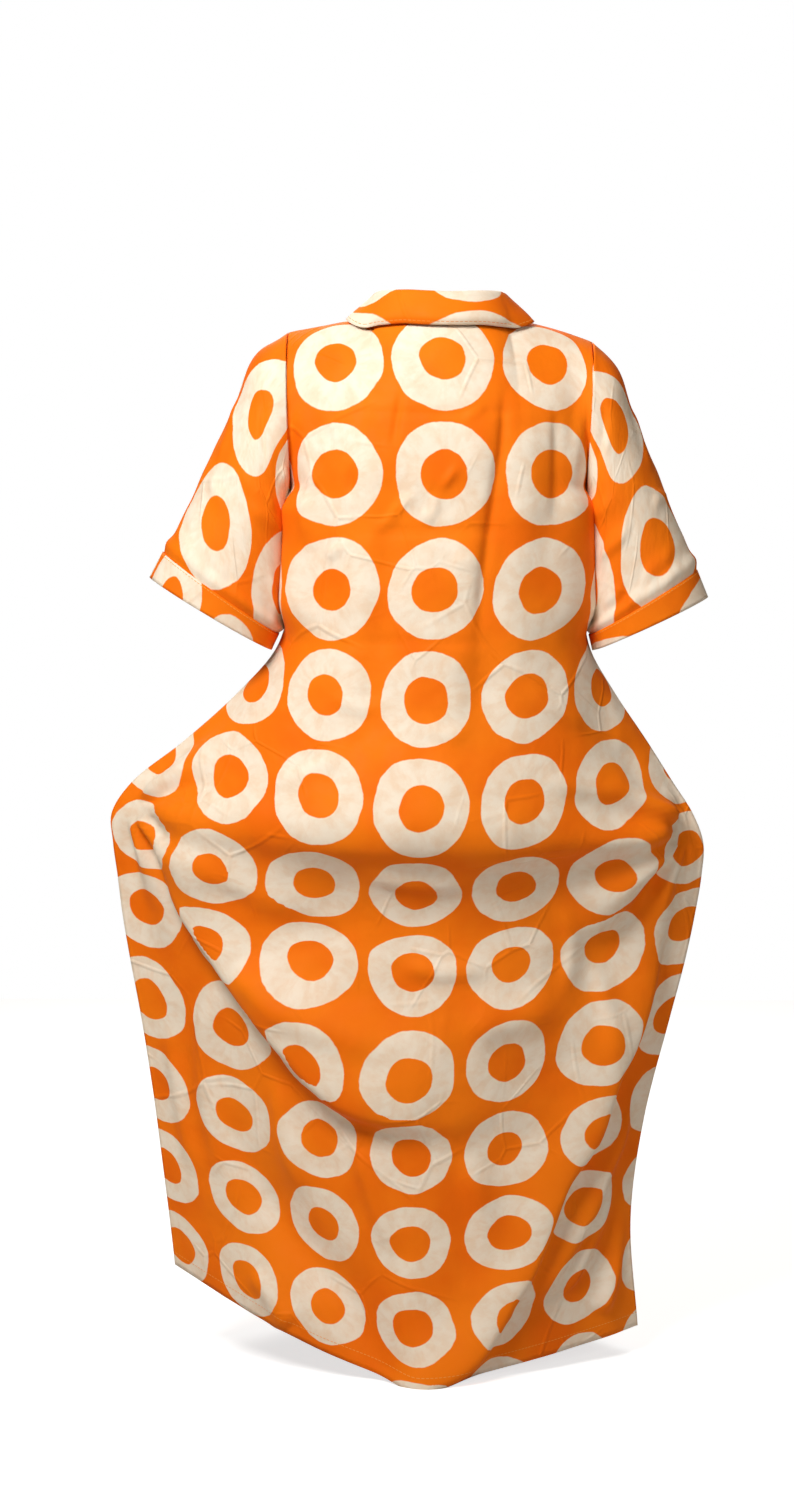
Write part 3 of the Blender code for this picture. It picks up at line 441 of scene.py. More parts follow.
def through(keys, values, at):
    """A smooth curve through the points (keys, values), read at one or more places."""
    keys, values = np.asarray(keys, float), np.asarray(values, float)
    slopes = np.gradient(values, keys, axis=0)
    at = np.clip(np.asarray(at, float), keys[0], keys[-1])
    cell = np.clip(np.searchsorted(keys, at) - 1, 0, len(keys) - 2)
    width = keys[cell + 1] - keys[cell]
    t = (at - keys[cell]) / width
    if values.ndim > 1:
        t, width = t[..., None], width[..., None]
    return (
        (1 + 2 * t) * (1 - t) ** 2 * values[cell]
        + t * (1 - t) ** 2 * width * slopes[cell]
        + t * t * (3 - 2 * t) * values[cell + 1]
        + t * t * (t - 1) * width * slopes[cell + 1]
    )


def smooth_step(t):
    """0 below 0, 1 above 1, and a smooth rise between."""
    t = np.clip(t, 0.0, 1.0)
    return t * t * (3 - 2 * t)


def unit(vectors):
    """Vectors made one long."""
    return vectors / np.maximum(np.linalg.norm(vectors, axis=-1, keepdims=True), 1e-12)


def evenly(points, count):
    """A polyline's points moved along it to equal distances."""
    along = np.concatenate([[0.0], np.cumsum(np.linalg.norm(np.diff(points, axis=0), axis=1))])
    wanted = np.linspace(0.0, along[-1], count)
    return np.stack([np.interp(wanted, along, points[:, axis]) for axis in range(3)], axis=1)


def section_at(height):
    """The section of the body at a height, read between the rows of SECTIONS."""
    table = SECTIONS[::-1]
    heights = column(table, "height")
    values = [float(through(heights, column(table, name), height)) for name in Section._fields[1:]]
    return Section(height, *values)


def hem_lift(across, side):
    """How far the hem is lifted, from the right seam (-1) by the middle (0) to the left seam (1)."""
    corner = np.where(across > 0, HEM_LIFT["left"], HEM_LIFT["right"])
    return HEM_LIFT[side] + (corner - HEM_LIFT[side]) * np.abs(across) ** 1.25


def section_row(height, side, columns):
    """One row of a body panel from the right seam to the left, its points evenly spaced on the cloth."""
    section = section_at(height)
    outermost, power, pinch = section.back, section.power, section.pinch
    if side == "front":
        outermost, power, pinch = section.front, section.front_power, section.front_pinch
    slant = smooth_step((LIFT_FROM - height) / LIFT_FROM)
    halves = []
    for edge, sign in ((section.right, -1.0), (section.left, 1.0)):
        share = np.sin(np.linspace(0.0, math.pi / 2, 200))
        x = section.middle + (edge - section.middle) * share
        y = section.seam + (outermost - section.seam) * (1 - share**power) ** pinch
        z = height + slant * hem_lift(share * sign, side)
        halves.append(evenly(np.stack([x, y, z], axis=1), columns // 2 + 1))
    return np.concatenate([halves[0][::-1], halves[1][1:]])


def neckline(share, side):
    """The neckline, from the right shoulder seam (-1) by its middle (0) to the left one (1)."""
    fall = 1 - np.abs(share)
    if side == "back":
        x = NECK_X * np.sin(share * math.pi / 2)
        y = NECK_BACK_Y * np.cos(share * math.pi / 2)
        z = NECK_HEIGHT - NECK_DIP * np.cos(share * math.pi / 2)
    else:
        x = NECK_X * np.sign(share) * (1 - fall**1.3)
        y = V_FOOT_Y * np.sin(fall * math.pi / 2)
        z = NECK_HEIGHT + (V_FOOT_HEIGHT - NECK_HEIGHT) * fall**1.2
    return np.stack([x, y, z], axis=-1)


def top_edge(side, columns):
    """The upper edge of a body panel: shoulder seam, neckline, shoulder seam."""
    across = np.linspace(-1.0, 1.0, columns + 1)
    edge = neckline(np.clip(across / NECK_SHARE, -1, 1), side)
    out = np.clip((np.abs(across) - NECK_SHARE) / (1 - NECK_SHARE), 0, 1)
    shoulder = np.where(across > 0, SHOULDER_HEIGHT["left"], SHOULDER_HEIGHT["right"])
    edge[:, 0] += np.sign(across) * out * (SHOULDER_X - NECK_X)
    edge[:, 2] += (shoulder - NECK_HEIGHT) * out**1.5
    return edge


def armhole_drop(turn):
    """How far down the armhole a turn has come, from 0 to 1: a little pointed at its top and foot."""
    steady = 1 - np.abs(1 - np.asarray(turn) / math.pi)
    return 0.6 * (1 - np.cos(turn)) / 2 + 0.4 * steady


def armhole(turn, hand):
    """The armhole by its back half: turn is 0 at the shoulder seam and pi at the underarm."""
    foot_x = abs(getattr(section_at(UNDERARM_HEIGHT), hand))
    down = armhole_drop(turn)
    x = HAND_SIGN[hand] * (SHOULDER_X + (foot_x - SHOULDER_X) * down + ARMHOLE_BOW * np.sin(turn) ** 2)
    z = SHOULDER_HEIGHT[hand] + (UNDERARM_HEIGHT - SHOULDER_HEIGHT[hand]) * down
    return np.stack([x, ARMHOLE_DEPTH * np.sin(turn), z], axis=-1)


def yoke(side, columns):
    """A panel above the underarm: level at the shoulders, upright at its foot, armholes at its sides."""
    top, foot = top_edge(side, columns), section_row(UNDERARM_HEIGHT, side, columns)
    down = np.linspace(0.0, 1.0, YOKE_ROWS[side] + 1)
    level = np.sin(down * math.pi / 2) ** 1.25
    drop = np.cos(down * math.pi / 2)
    grid = top + (foot - top) * level[:, None, None]
    grid[..., 2] = foot[:, 2] + (top[:, 2] - foot[:, 2]) * drop[:, None]
    across = np.linspace(-1.0, 1.0, columns + 1)
    for edge, hand, sign in ((0, "right", -1.0), (-1, "left", 1.0)):
        wanted = armhole(down * math.pi, hand)
        if side == "front":
            wanted[:, 1] *= -1
        near = np.clip(across * sign, 0.0, 1.0) ** 4
        grid += (wanted - grid[:, edge])[:, None, :] * near[None, :, None]
    return grid


class FoldFrame:
    """Where points lie beside a fold's path: their distance to its left, and their share along it."""

    def __init__(self, fold, x, height):
        points = np.array(fold.path)
        line = through(np.arange(len(points)), points, np.linspace(0, len(points) - 1, 90))
        ahead = unit(np.gradient(line, axis=0))
        spacing = np.linalg.norm(np.diff(line, axis=0), axis=1).mean()
        squared = (x[..., None] - line[:, 0]) ** 2 + (height[..., None] - line[:, 1]) ** 2
        nearest = np.argmin(squared, axis=-1)
        tangent = ahead[nearest]
        offset = np.stack([x, height], axis=-1) - line[nearest]
        self.leftward = np.stack([-tangent[..., 1], tangent[..., 0]], axis=-1)
        self.distance = (offset * self.leftward).sum(axis=-1)
        step = (offset * tangent).sum(axis=-1) / spacing
        place = nearest + step
        beyond = (place - np.clip(place, 0, len(line) - 1)) * spacing
        self.along = np.clip(place, 0, len(line) - 1) / (len(line) - 1)
        self.fade = smooth_step((self.along + 1e-3) / (fold.start + 1e-3))
        self.fade *= smooth_step((1 - self.along + 1e-3) / (fold.end + 1e-3))
        self.fade *= np.exp(-((beyond / fold.soft) ** 2))


def fold_shift(fold, beside):
    """How far a fold moves each point of the cloth outward, and its push along X and height."""
    width = np.where(beside.distance > 0, fold.sharp, fold.soft) * (1 + (fold.wide - 1) * beside.along)
    bump = fold.depth * beside.fade * np.exp(-((beside.distance / width) ** 2))
    return bump, beside.leftward * (fold.lean * bump)[..., None]


def tucked(fold, beside):
    """How far a fold carries the print, by the cloth that its sharp side hides, along X and height."""
    past = smooth_step(beside.distance / TUCK_EDGE + 0.5)
    fading = np.exp(-np.maximum(beside.distance, 0) / (TUCK_REACH * fold.tuck + 1e-6))
    return beside.leftward * (fold.tuck * beside.fade * past * fading)[..., None]


def grip_pleats(grip, x, height):
    """How far the pleats that fan out from a hand move the cloth outward."""
    inward, up = -np.sign(grip.x) * (x - grip.x), height - grip.height
    distance = np.hypot(inward, up)
    rise = (distance / grip.reach) * np.exp(1 - distance / grip.reach)
    return grip.depth * rise**2 * np.cos(grip.pleats * np.arctan2(up, inward))


def outward_normals(grid, side):
    """Unit normals of a body panel, pointing away from the wearer."""
    normal = unit(np.cross(np.gradient(grid, axis=0), np.gradient(grid, axis=1)))
    outward = 1.0 if side == "back" else -1.0
    middle = normal[grid.shape[0] // 2, grid.shape[1] // 2, 1]
    return normal if middle * outward > 0 else -normal


def row_lengths(grid):
    """For each point of a grid, its length of cloth along its row, from the row's first point."""
    steps = np.linalg.norm(np.diff(grid, axis=1), axis=2)
    return np.concatenate([np.zeros((len(grid), 1)), np.cumsum(steps, axis=1)], axis=1)


def column_lengths(grid):
    """For each point of a grid, its length of cloth down its column, from the column's first point."""
    return row_lengths(grid.transpose(1, 0, 2)).T


def cloth_places(flat, side):
    """Metres across a panel from its middle column, and down it from the underarm, as if it lay flat."""
    middle = flat.shape[1] // 2
    across = row_lengths(flat)
    across -= across[:, middle : middle + 1]
    lengths = column_lengths(flat)
    underarm = YOKE_ROWS[side]
    lengths -= lengths[underarm]
    height = flat[..., 2]
    share = np.linspace(-1.0, 1.0, flat.shape[1])
    rise = np.zeros_like(across)
    for hand, sign in HAND_SIGN.items():
        rise += PRINT_RISE[hand].height * np.clip(share * sign, 0, 1) ** PRINT_RISE[hand].power
    rise *= smooth_step((RISE_FROM - height) / (RISE_FROM - RISE_FULL))
    column_height, column_length = height[:, middle], lengths[:, middle]
    down = np.interp(rise - height, -column_height, column_length)
    below_hem = np.minimum(height - rise - column_height[-1], 0)
    down = np.where(height < UNDERARM_HEIGHT, down - below_hem, lengths)
    return across, down, column_height, column_length


def body_print(across, down, column_height, column_length):
    """The rings' own coordinates on a body panel, in which each ring's centre is a whole number."""
    heights = column(PRINT_ROWS, "height")
    rows = np.interp(-heights, -column_height, column_length)
    spare = 3  # rows past the first and the last, at their spacing
    numbers = np.arange(-spare, len(rows) + spare)
    before = rows[0] + (rows[1] - rows[0]) * np.arange(-spare, 0)
    after = rows[-1] + (rows[-1] - rows[-2]) * np.arange(1, spare + 1)
    v = np.interp(down, np.concatenate([before, rows, after]), numbers)
    u = across / np.interp(down, rows, column(PRINT_ROWS, "pitch"))
    return np.stack([u, -v], axis=-1)


def uneven(points, size, amount, seed):
    """Small soft unevenness for each point of a grid: gradient noise of a given size."""
    flat = points.reshape(-1, 3) / size
    values = [noise.noise(Vector(point) + Vector((seed, seed * 2.7, 0))) for point in flat]
    return np.array(values).reshape(points.shape[:2]) * amount


def body_panel(side):
    """The front or the back: its points row by row from the shoulders to the hem, and its places."""
    columns = COLUMNS[side]
    heights = np.linspace(UNDERARM_HEIGHT, 0.0, SKIRT_ROWS[side] + 1)[1:]
    skirt = [section_row(height, side, columns) for height in heights]
    flat = np.concatenate([yoke(side, columns), skirt])
    grid = flat.copy()
    normal = outward_normals(grid, side)
    x, height = flat[..., 0], flat[..., 2]
    across, down, column_height, column_length = cloth_places(flat, side)
    free = smooth_step((1 - np.abs(np.linspace(-1.0, 1.0, columns + 1))) / SEAM_HOLD)
    carried = np.zeros(flat.shape[:2] + (2,))
    for fold in BODY_FOLDS[side]:
        beside = FoldFrame(fold, x, height)
        outward, push = fold_shift(fold, beside)
        grid += normal * (outward * free)[..., None]
        grid[..., 0] += push[..., 0] * free
        grid[..., 2] += push[..., 1] * free
        if fold.tuck:
            carried += tucked(fold, beside)
    for grip in GRIPS:
        grid += normal * (grip_pleats(grip, x, height) * free)[..., None]
    for size, amount, seed in UNEVEN:
        grid += normal * (uneven(flat, size, amount, seed) * free)[..., None]
    draw_back_from_seams(grid, side)
    grid[..., 2] -= NECK_HEIGHT
    rings = body_print(across + carried[..., 0], down - carried[..., 1], column_height, column_length)
    hem = column_lengths(flat)
    stitch = np.stack([across, hem[-1] - hem - HEM_STITCH], axis=-1)
    return Cloth(grid, {"print": rings, "cloth": np.stack([across, down], axis=-1), "stitch": stitch})


def seam_room(normals, axis):
    """How far a sewn edge keeps from the plane of its seam, which lies across an axis."""
    return SEAM_GAP * 0.7 + np.abs(normals[..., axis]) * WALL / 2


def draw_back_from_seams(grid, side):
    """Moves a panel's sewn edges back, to keep the seam's gap from the other panel and the sleeves."""
    normals = outward_normals(grid, side)
    outward = 1.0 if side == "back" else -1.0
    yoke_rows = YOKE_ROWS[side]
    grid[0, :, 1] += outward * seam_room(normals[0], 1)
    for edge, inward in ((0, 1.0), (-1, -1.0)):
        grid[yoke_rows:, edge, 1] += outward * seam_room(normals[yoke_rows:, edge], 1)
        grid[: yoke_rows + 1, edge, 0] += inward * seam_room(normals[: yoke_rows + 1, edge], 0)


def sleeve_turns():
    """Turns round a sleeve, from the underarm by the front to the shoulder line, and down the back."""
    return np.linspace(-math.pi, math.pi, SLEEVE_SIDES, endpoint=False)


def sleeve_rings(hand, shares):
    """Rings of a sleeve at shares of its length."""
    table = SLEEVES[hand]
    keys = np.linspace(0.0, 1.0, len(table))
    upper_x, upper_z, lower_x, lower_z, half_depth, middle_y = (
        through(keys, column(table, name), shares)[:, None] for name in Ring._fields
    )
    turn = sleeve_turns()
    x = (upper_x + lower_x) / 2 + (upper_x - lower_x) / 2 * np.cos(turn)
    y = middle_y + half_depth * np.sin(turn)
    z = (upper_z + lower_z) / 2 + (upper_z - lower_z) / 2 * np.cos(turn) - NECK_HEIGHT
    return np.stack([x, y, z], axis=-1)


def sleeve_length(hand):
    """The length of a sleeve's middle line."""
    middles = sleeve_rings(hand, np.linspace(0.0, 1.0, 30)).mean(axis=1)
    return np.linalg.norm(np.diff(middles, axis=0), axis=1).sum()


def ring_normals(grid, hand):
    """Unit normals of a sleeve or cuff, pointing out of it."""
    around = np.roll(grid, -1, axis=1) - np.roll(grid, 1, axis=1)
    return unit(np.cross(np.gradient(grid, axis=0), around)) * HAND_SIGN[hand]


def tube_places(grid):
    """Metres round a sleeve or cuff from its back's middle, and along it; the first column comes twice."""
    closed = np.concatenate([grid, grid[:, :1]], axis=1)
    across = row_lengths(closed)
    across -= across[:, SLEEVE_SIDES * 3 // 4][:, None]
    along = column_lengths(closed)
    return across, along


def small_print(name, across, along):
    """The rings' own coordinates on a small piece."""
    place = SMALL_PRINTS[name]
    u = (across - place.across) / place.pitch_across
    v = (along - place.along + place.slope * (across - place.across)) / place.pitch_along
    return np.stack([u + place.cell, -v], axis=-1)


def small_cloth(name, grid, across, along, stitch):
    """A small piece's points and places."""
    rings = small_print(name, across, along)
    return Cloth(grid, {"print": rings, "cloth": np.stack([across, along], axis=-1), "stitch": stitch})


def sleeve(hand):
    """A sleeve, whose first ring is the armhole, a seam's gap further out."""
    grid = sleeve_rings(hand, np.linspace(0.0, 1.0, SLEEVE_RINGS + 1))
    turn = sleeve_turns()
    grid[0] = armhole(np.abs(turn), hand) * np.where(turn < 0, -1, 1)[:, None] ** np.array((0, 1, 0))
    grid[0, :, 2] -= NECK_HEIGHT
    across, along = tube_places(grid)
    normals = ring_normals(grid, hand)
    left_over = np.linspace(1.0, 0.0, SLEEVE_RINGS + 1)
    free = smooth_step(left_over[::-1] / SEAM_HOLD) * smooth_step(left_over / SEAM_HOLD - BAND_HOLD)
    free = free[:, None]
    above_band = left_over * sleeve_length(hand) - CUFF_BAND
    roll = ROLL_SWELL * np.exp(-(((above_band - ROLL_ABOVE) / ROLL_WIDTH) ** 2))
    grid += normals * roll[:, None, None]
    for fold in SLEEVE_FOLDS[hand]:
        beside = FoldFrame(fold, across[:, :-1], -along[:, :-1])
        outward, _ = fold_shift(fold, beside)
        grid += normals * (outward * free)[..., None]
    for size, amount, seed in UNEVEN:
        grid += normals * (uneven(grid, size, amount, seed + SLEEVE_SEED) * free)[..., None]
    room = seam_room(normals[0], 0) + UNDERARM_EASE * ((1 - np.cos(turn)) / 2) ** 2
    grid[0, :, 0] += HAND_SIGN[hand] * room
    return small_cloth("sleeve_" + hand, grid, across, along, np.full(across.shape + (2,), NO_STITCH))


def cuff(hand):
    """The band turned up at the foot of a sleeve: the sleeve's own rings, moved out past its wall."""
    rings = sleeve_rings(hand, np.linspace(1.0 - CUFF_BAND / sleeve_length(hand), 1.0, CUFF_RINGS + 1))
    across, along = tube_places(rings)
    grid = rings + ring_normals(rings, hand) * CUFF_LIFT
    stitch = np.stack([across, along - CUFF_STITCH], axis=-1)
    return small_cloth("cuff_" + hand, grid, across, along, stitch)


def tree_of(grids):
    """One search tree over several panels."""
    points, faces = [], []
    for grid in grids:
        for face in grid_faces(*grid.shape[:2], False):
            faces.append(tuple(len(points) + corner for corner in face))
        points += [tuple(point) for point in grid.reshape(-1, 3)]
    return BVHTree.FromPolygons(points, faces)


def smoothed(line, times):
    """A line of points or directions with its small kinks taken out; its ends stay."""
    for _ in range(times):
        line = np.concatenate([line[:1], (line[:-2] + 2 * line[1:-1] + line[2:]) / 4, line[-1:]])
    return line


def on_panels(tree, points, outward):
    """The places of the panels nearest to some points, and the cloth's outward normals there."""
    places, normals = [], []
    for point, away in zip(points, outward):
        place, normal, _, _ = tree.find_nearest(Vector(point))
        places.append(place)
        normals.append(np.array(normal) * np.sign(np.dot(normal, away)))
    return np.array(places), unit(smoothed(np.array(normals), NORMAL_SMOOTHING))


def neck_seam(panels):
    """The panels' neck edges as one line, from the V's foot round by the right, the back and the left."""
    edges = {}
    for side, grid in panels.items():
        middle = COLUMNS[side] // 2
        half = round(NECK_SHARE * middle)
        edges[side] = grid[0, middle - half : middle + half + 1]
    foot = len(edges["front"]) // 2
    line = np.concatenate([edges["front"][foot::-1], edges["back"], edges["front"][:foot - 1:-1]])
    line[0] += (line[1] - line[0]) * COLLAR_ENDS_SHORT
    line[-1] += (line[-2] - line[-1]) * COLLAR_ENDS_SHORT
    halved = np.empty((2 * len(line) - 1, 3))
    halved[::2] = line
    halved[1::2] = (line[:-1] + line[1:]) / 2
    return halved


def collar(panels):
    """The points of the collar, station by station: neck seam, stand, roll and fall."""
    tree = tree_of(panels.values())
    seam = neck_seam(panels)
    travelled = np.concatenate([[0.0], np.cumsum(np.linalg.norm(np.diff(seam, axis=0), axis=1))])
    along = np.abs(2 * travelled / travelled[-1] - 1)
    keys = column(COLLAR, "along")
    stand, reach, lift = (through(keys, column(COLLAR, name), along) for name in Station._fields[1:])
    centre = np.array((0.0, 0.0, -0.15))
    _, outward = on_panels(tree, seam, unit(seam - centre))
    away = unit(np.cross(outward, np.gradient(seam, axis=0)))
    away *= np.sign(away[len(away) // 2, 1])
    upright = smooth_step((0.55 - along) / 0.45)[:, None]
    rise = unit(outward * (1 - upright) + np.array((0.0, 0.0, 1.0)) * upright) * stand[:, None]
    foot = seam + outward * (WALL / 2 + SEAM_GAP * 2)
    lines = [
        foot,
        foot + rise * 0.55,
        foot + rise + away * ROLL_RADIUS * 0.3,
        foot + rise * 0.9 + away * ROLL_RADIUS * 1.6,
    ]
    for share, height in ((0.65, lift * 1.1 + stand * 0.28), (1.0, lift)):
        places, normals = on_panels(tree, seam + away * (reach * share)[:, None], outward)
        lines.append(places + normals * height[:, None])
    lines = np.array([smoothed(line, LINE_SMOOTHING) for line in lines])
    shares = np.linspace(0, len(lines) - 1, COLLAR_LINES)
    profile = through(np.arange(len(lines)), lines.reshape(len(lines), -1), shares)
    grid = profile.reshape(COLLAR_LINES, -1, 3).transpose(1, 0, 2)
    across = np.broadcast_to(travelled[:, None] - travelled[-1] / 2, grid.shape[:2])
    along = row_lengths(grid)
    stitch = np.stack([across, along[:, -1:] - along - COLLAR_STITCH], axis=-1)
    return small_cloth("collar", grid, across, along, stitch)


def grid_faces(rows, columns, closed):
    """Quads between the rows of a grid; closed joins the last column to the first."""
    last = columns if closed else columns - 1
    faces = []
    for row in range(rows - 1):
        for left in range(last):
            right = (left + 1) % columns
            here, below = row * columns, (row + 1) * columns
            faces.append((here + left, here + right, below + right, below + left))
    return faces


def cloth(name, made, material, closed=False):
    """An object made of a piece's grid, with its places as UV maps and the cloth's thickness."""
    rows, columns = made.grid.shape[:2]
    mesh = bpy.data.meshes.new(name)
    mesh.from_pydata(made.grid.reshape(-1, 3).tolist(), [], grid_faces(rows, columns, closed))
    across = columns if closed else columns - 1
    row = np.repeat(np.arange(rows - 1), across)
    first = np.tile(np.arange(across), rows - 1)
    corner_row = np.stack([row, row, row + 1, row + 1], axis=1)
    corner_column = np.stack([first, first + 1, first + 1, first], axis=1)
    for layer, values in made.places.items():
        uv = mesh.uv_layers.new(name=layer)
        uv.data.foreach_set("uv", values[corner_row, corner_column].astype(np.float32).ravel())
    mesh.shade_smooth()
    mesh.materials.append(material)
    piece = bpy.data.objects.new(name, mesh)
    bpy.context.scene.collection.objects.link(piece)
    wall = piece.modifiers.new("Cloth thickness", "SOLIDIFY")
    wall.thickness = WALL
    wall.offset = 0.0
    return piece


class Graph:
    """A material's nodes, added and linked with short calls. A value is a number, a tuple or a socket."""

    def __init__(self, tree):
        self.tree = tree

    def feed(self, socket, value):
        if isinstance(value, bpy.types.NodeSocket):
            self.tree.links.new(value, socket)
        else:
            socket.default_value = value

    def node(self, kind, inputs, **settings):
        made = self.tree.nodes.new(kind)
        for name, value in settings.items():
            setattr(made, name, value)
        for key, value in inputs.items():
            self.feed(made.inputs[key], value)
        return made

    def math(self, operation, *values):
        return self.node("ShaderNodeMath", dict(enumerate(values)), operation=operation).outputs[0]

    def vector(self, operation, *values):
        made = self.node("ShaderNodeVectorMath", dict(enumerate(values)), operation=operation)
        return made.outputs["Value" if operation == "LENGTH" else "Vector"]

    def scaled(self, value, amount):
        inputs = {0: value, "Scale": amount}
        return self.node("ShaderNodeVectorMath", inputs, operation="SCALE").outputs["Vector"]

    def between(self, value, low, high, at_low=0.0, at_high=1.0):
        inputs = {"Value": value, "From Min": low, "From Max": high, "To Min": at_low, "To Max": at_high}
        return self.node("ShaderNodeMapRange", inputs, interpolation_type="SMOOTHSTEP").outputs[0]

    def mix(self, share, first, second):
        made = self.node("ShaderNodeMix", {0: share, 6: first, 7: second}, data_type="RGBA")
        return made.outputs[2]

    def noise(self, place, scale, detail=2.0, roughness=0.5):
        inputs = {"Vector": place, "Scale": scale, "Detail": detail, "Roughness": roughness}
        return self.node("ShaderNodeTexNoise", inputs)

    def cell_edges(self, place, scale):
        inputs = {"Vector": place, "Scale": scale, "Randomness": 1.0}
        settings = {"feature": "DISTANCE_TO_EDGE", "voronoi_dimensions": "2D"}
        return self.node("ShaderNodeTexVoronoi", inputs, **settings).outputs["Distance"]

    def place(self, layer):
        return self.node("ShaderNodeUVMap", {}, uv_map=layer).outputs[0]

    def split(self, vector):
        made = self.node("ShaderNodeSeparateXYZ", {0: vector})
        return made.outputs[0], made.outputs[1]

    def join(self, x, y, z=0.0):
        return self.node("ShaderNodeCombineXYZ", {0: x, 1: y, 2: z}).outputs[0]


Rings = namedtuple("Rings", "cream outline streaks")


def ring_print(graph):
    """Where the print is cream, where its pale outline runs, and the streaks that fan out in a ring."""
    place = graph.place("print")
    pushed = place
    for wobble in WOBBLES:
        push = graph.noise(place, wobble.scale, wobble.detail).outputs["Color"]
        centred = graph.vector("SUBTRACT", push, (0.5, 0.5, 0.5))
        pushed = graph.vector("ADD", pushed, graph.scaled(centred, wobble.push))
    u, v = graph.split(pushed)
    cell_u, cell_v = graph.math("ROUND", u), graph.math("ROUND", v)
    cell = graph.join(cell_u, cell_v)
    own = graph.node("ShaderNodeTexWhiteNoise", {"Vector": cell}, noise_dimensions="3D").outputs["Value"]
    from_centre = graph.join(graph.math("SUBTRACT", u, cell_u), graph.math("SUBTRACT", v, cell_v))
    radius = graph.vector("LENGTH", from_centre)
    lower = graph.between(cell_v, SHRINK_FROM, SHRINK_FULL, 0.0, RING_SHRINK)
    outer = graph.between(own, 0.0, 1.0, RING_OUTER - RING_LESS, RING_OUTER + RING_MORE)
    outer = graph.math("SUBTRACT", outer, lower)
    inner = graph.between(own, 0.0, 1.0, RING_INNER + RING_MORE, RING_INNER - RING_LESS)
    to_outer, to_inner = graph.math("SUBTRACT", outer, radius), graph.math("SUBTRACT", radius, inner)
    inside, past = (graph.between(edge, -EDGE_SOFT, EDGE_SOFT) for edge in (to_outer, to_inner))
    cream = graph.math("MULTIPLY", inside, past)
    to_edge = graph.math("MINIMUM", to_outer, to_inner)
    outline = graph.math("MULTIPLY", graph.between(to_edge, OUTLINE * 2, 0.0), cream)
    way = graph.vector("NORMALIZE", from_centre)
    spread = graph.vector("MULTIPLY", way, (STREAK_SPREAD, STREAK_SPREAD, 0.0))
    twist = graph.math("MULTIPLY", radius, STREAK_TWIST)
    turned = graph.vector("ADD", spread, graph.join(cell_u, cell_v, twist))
    streaks = graph.noise(turned, *STREAKED).outputs["Fac"]
    return Rings(cream, outline, streaks)


def cotton_colour(graph, rings):
    """Orange ground with cream rings, each a little uneven, as hand-dyed cotton is."""
    cloth_place = graph.place("cloth")
    broad = graph.noise(cloth_place, *BROAD).outputs["Fac"]
    orange = graph.mix(graph.between(broad, 0.35, 0.70), ORANGE, ORANGE_DEEP)
    blotches = graph.noise(cloth_place, *BLOTCHED).outputs["Fac"]
    streaked = graph.math("MULTIPLY", graph.between(rings.streaks, 0.40, 0.66), STREAKS)
    blotched = graph.math("MULTIPLY", graph.between(blotches, 0.38, 0.66), BLOTCHES)
    cream = graph.mix(graph.math("ADD", streaked, blotched), CREAM, BEIGE)
    cream = graph.mix(graph.math("MULTIPLY", rings.outline, OUTLINE_STRENGTH), cream, OUTLINE_PALE)
    return graph.mix(rings.cream, orange, cream)


def weave_height(graph, across, along):
    """The height of plain woven threads, in metres."""
    turns = 2 * math.pi / THREAD_PITCH
    warp = graph.math("SINE", graph.math("MULTIPLY", across, turns))
    weft = graph.math("SINE", graph.math("MULTIPLY", along, turns))
    return graph.math("MULTIPLY", graph.math("MULTIPLY", warp, weft), THREAD_HEIGHT)


def crease_height(graph, cloth_place):
    """The height of the fine straight creases that pressing and wear leave, in metres."""
    bent = graph.noise(cloth_place, *BENT).outputs["Color"]
    place = graph.vector("ADD", cloth_place, graph.scaled(bent, PRESSED_BEND))
    total = 0.0
    for cells, width, height, seed in PRESSED:
        moved = graph.vector("ADD", place, (seed, seed * 1.7, 0.0))
        line = graph.between(graph.cell_edges(moved, cells), width * cells, 0.0)
        patches = graph.noise(moved, cells * 0.8, 1.0).outputs["Fac"]
        shown = graph.between(patches, PRESSED_FROM, PRESSED_FULL)
        pressed = graph.math("MULTIPLY", graph.math("MULTIPLY", line, shown), height)
        total = graph.math("ADD", total, pressed)
    soft = graph.noise(cloth_place, *CRUMPLED).outputs["Fac"]
    return graph.math("ADD", total, graph.math("MULTIPLY", soft, SOFT_CRUMPLE))


def stitches(graph):
    """Where the thread of a row of stitches shows."""
    along, off = graph.split(graph.place("stitch"))
    line = graph.between(graph.math("ABSOLUTE", off), STITCH_WIDTH, STITCH_WIDTH * 0.6)
    dash = graph.math("PINGPONG", graph.math("DIVIDE", along, STITCH_LENGTH), 1.0)
    return graph.math("MULTIPLY", line, graph.between(dash, 0.25, 0.40))


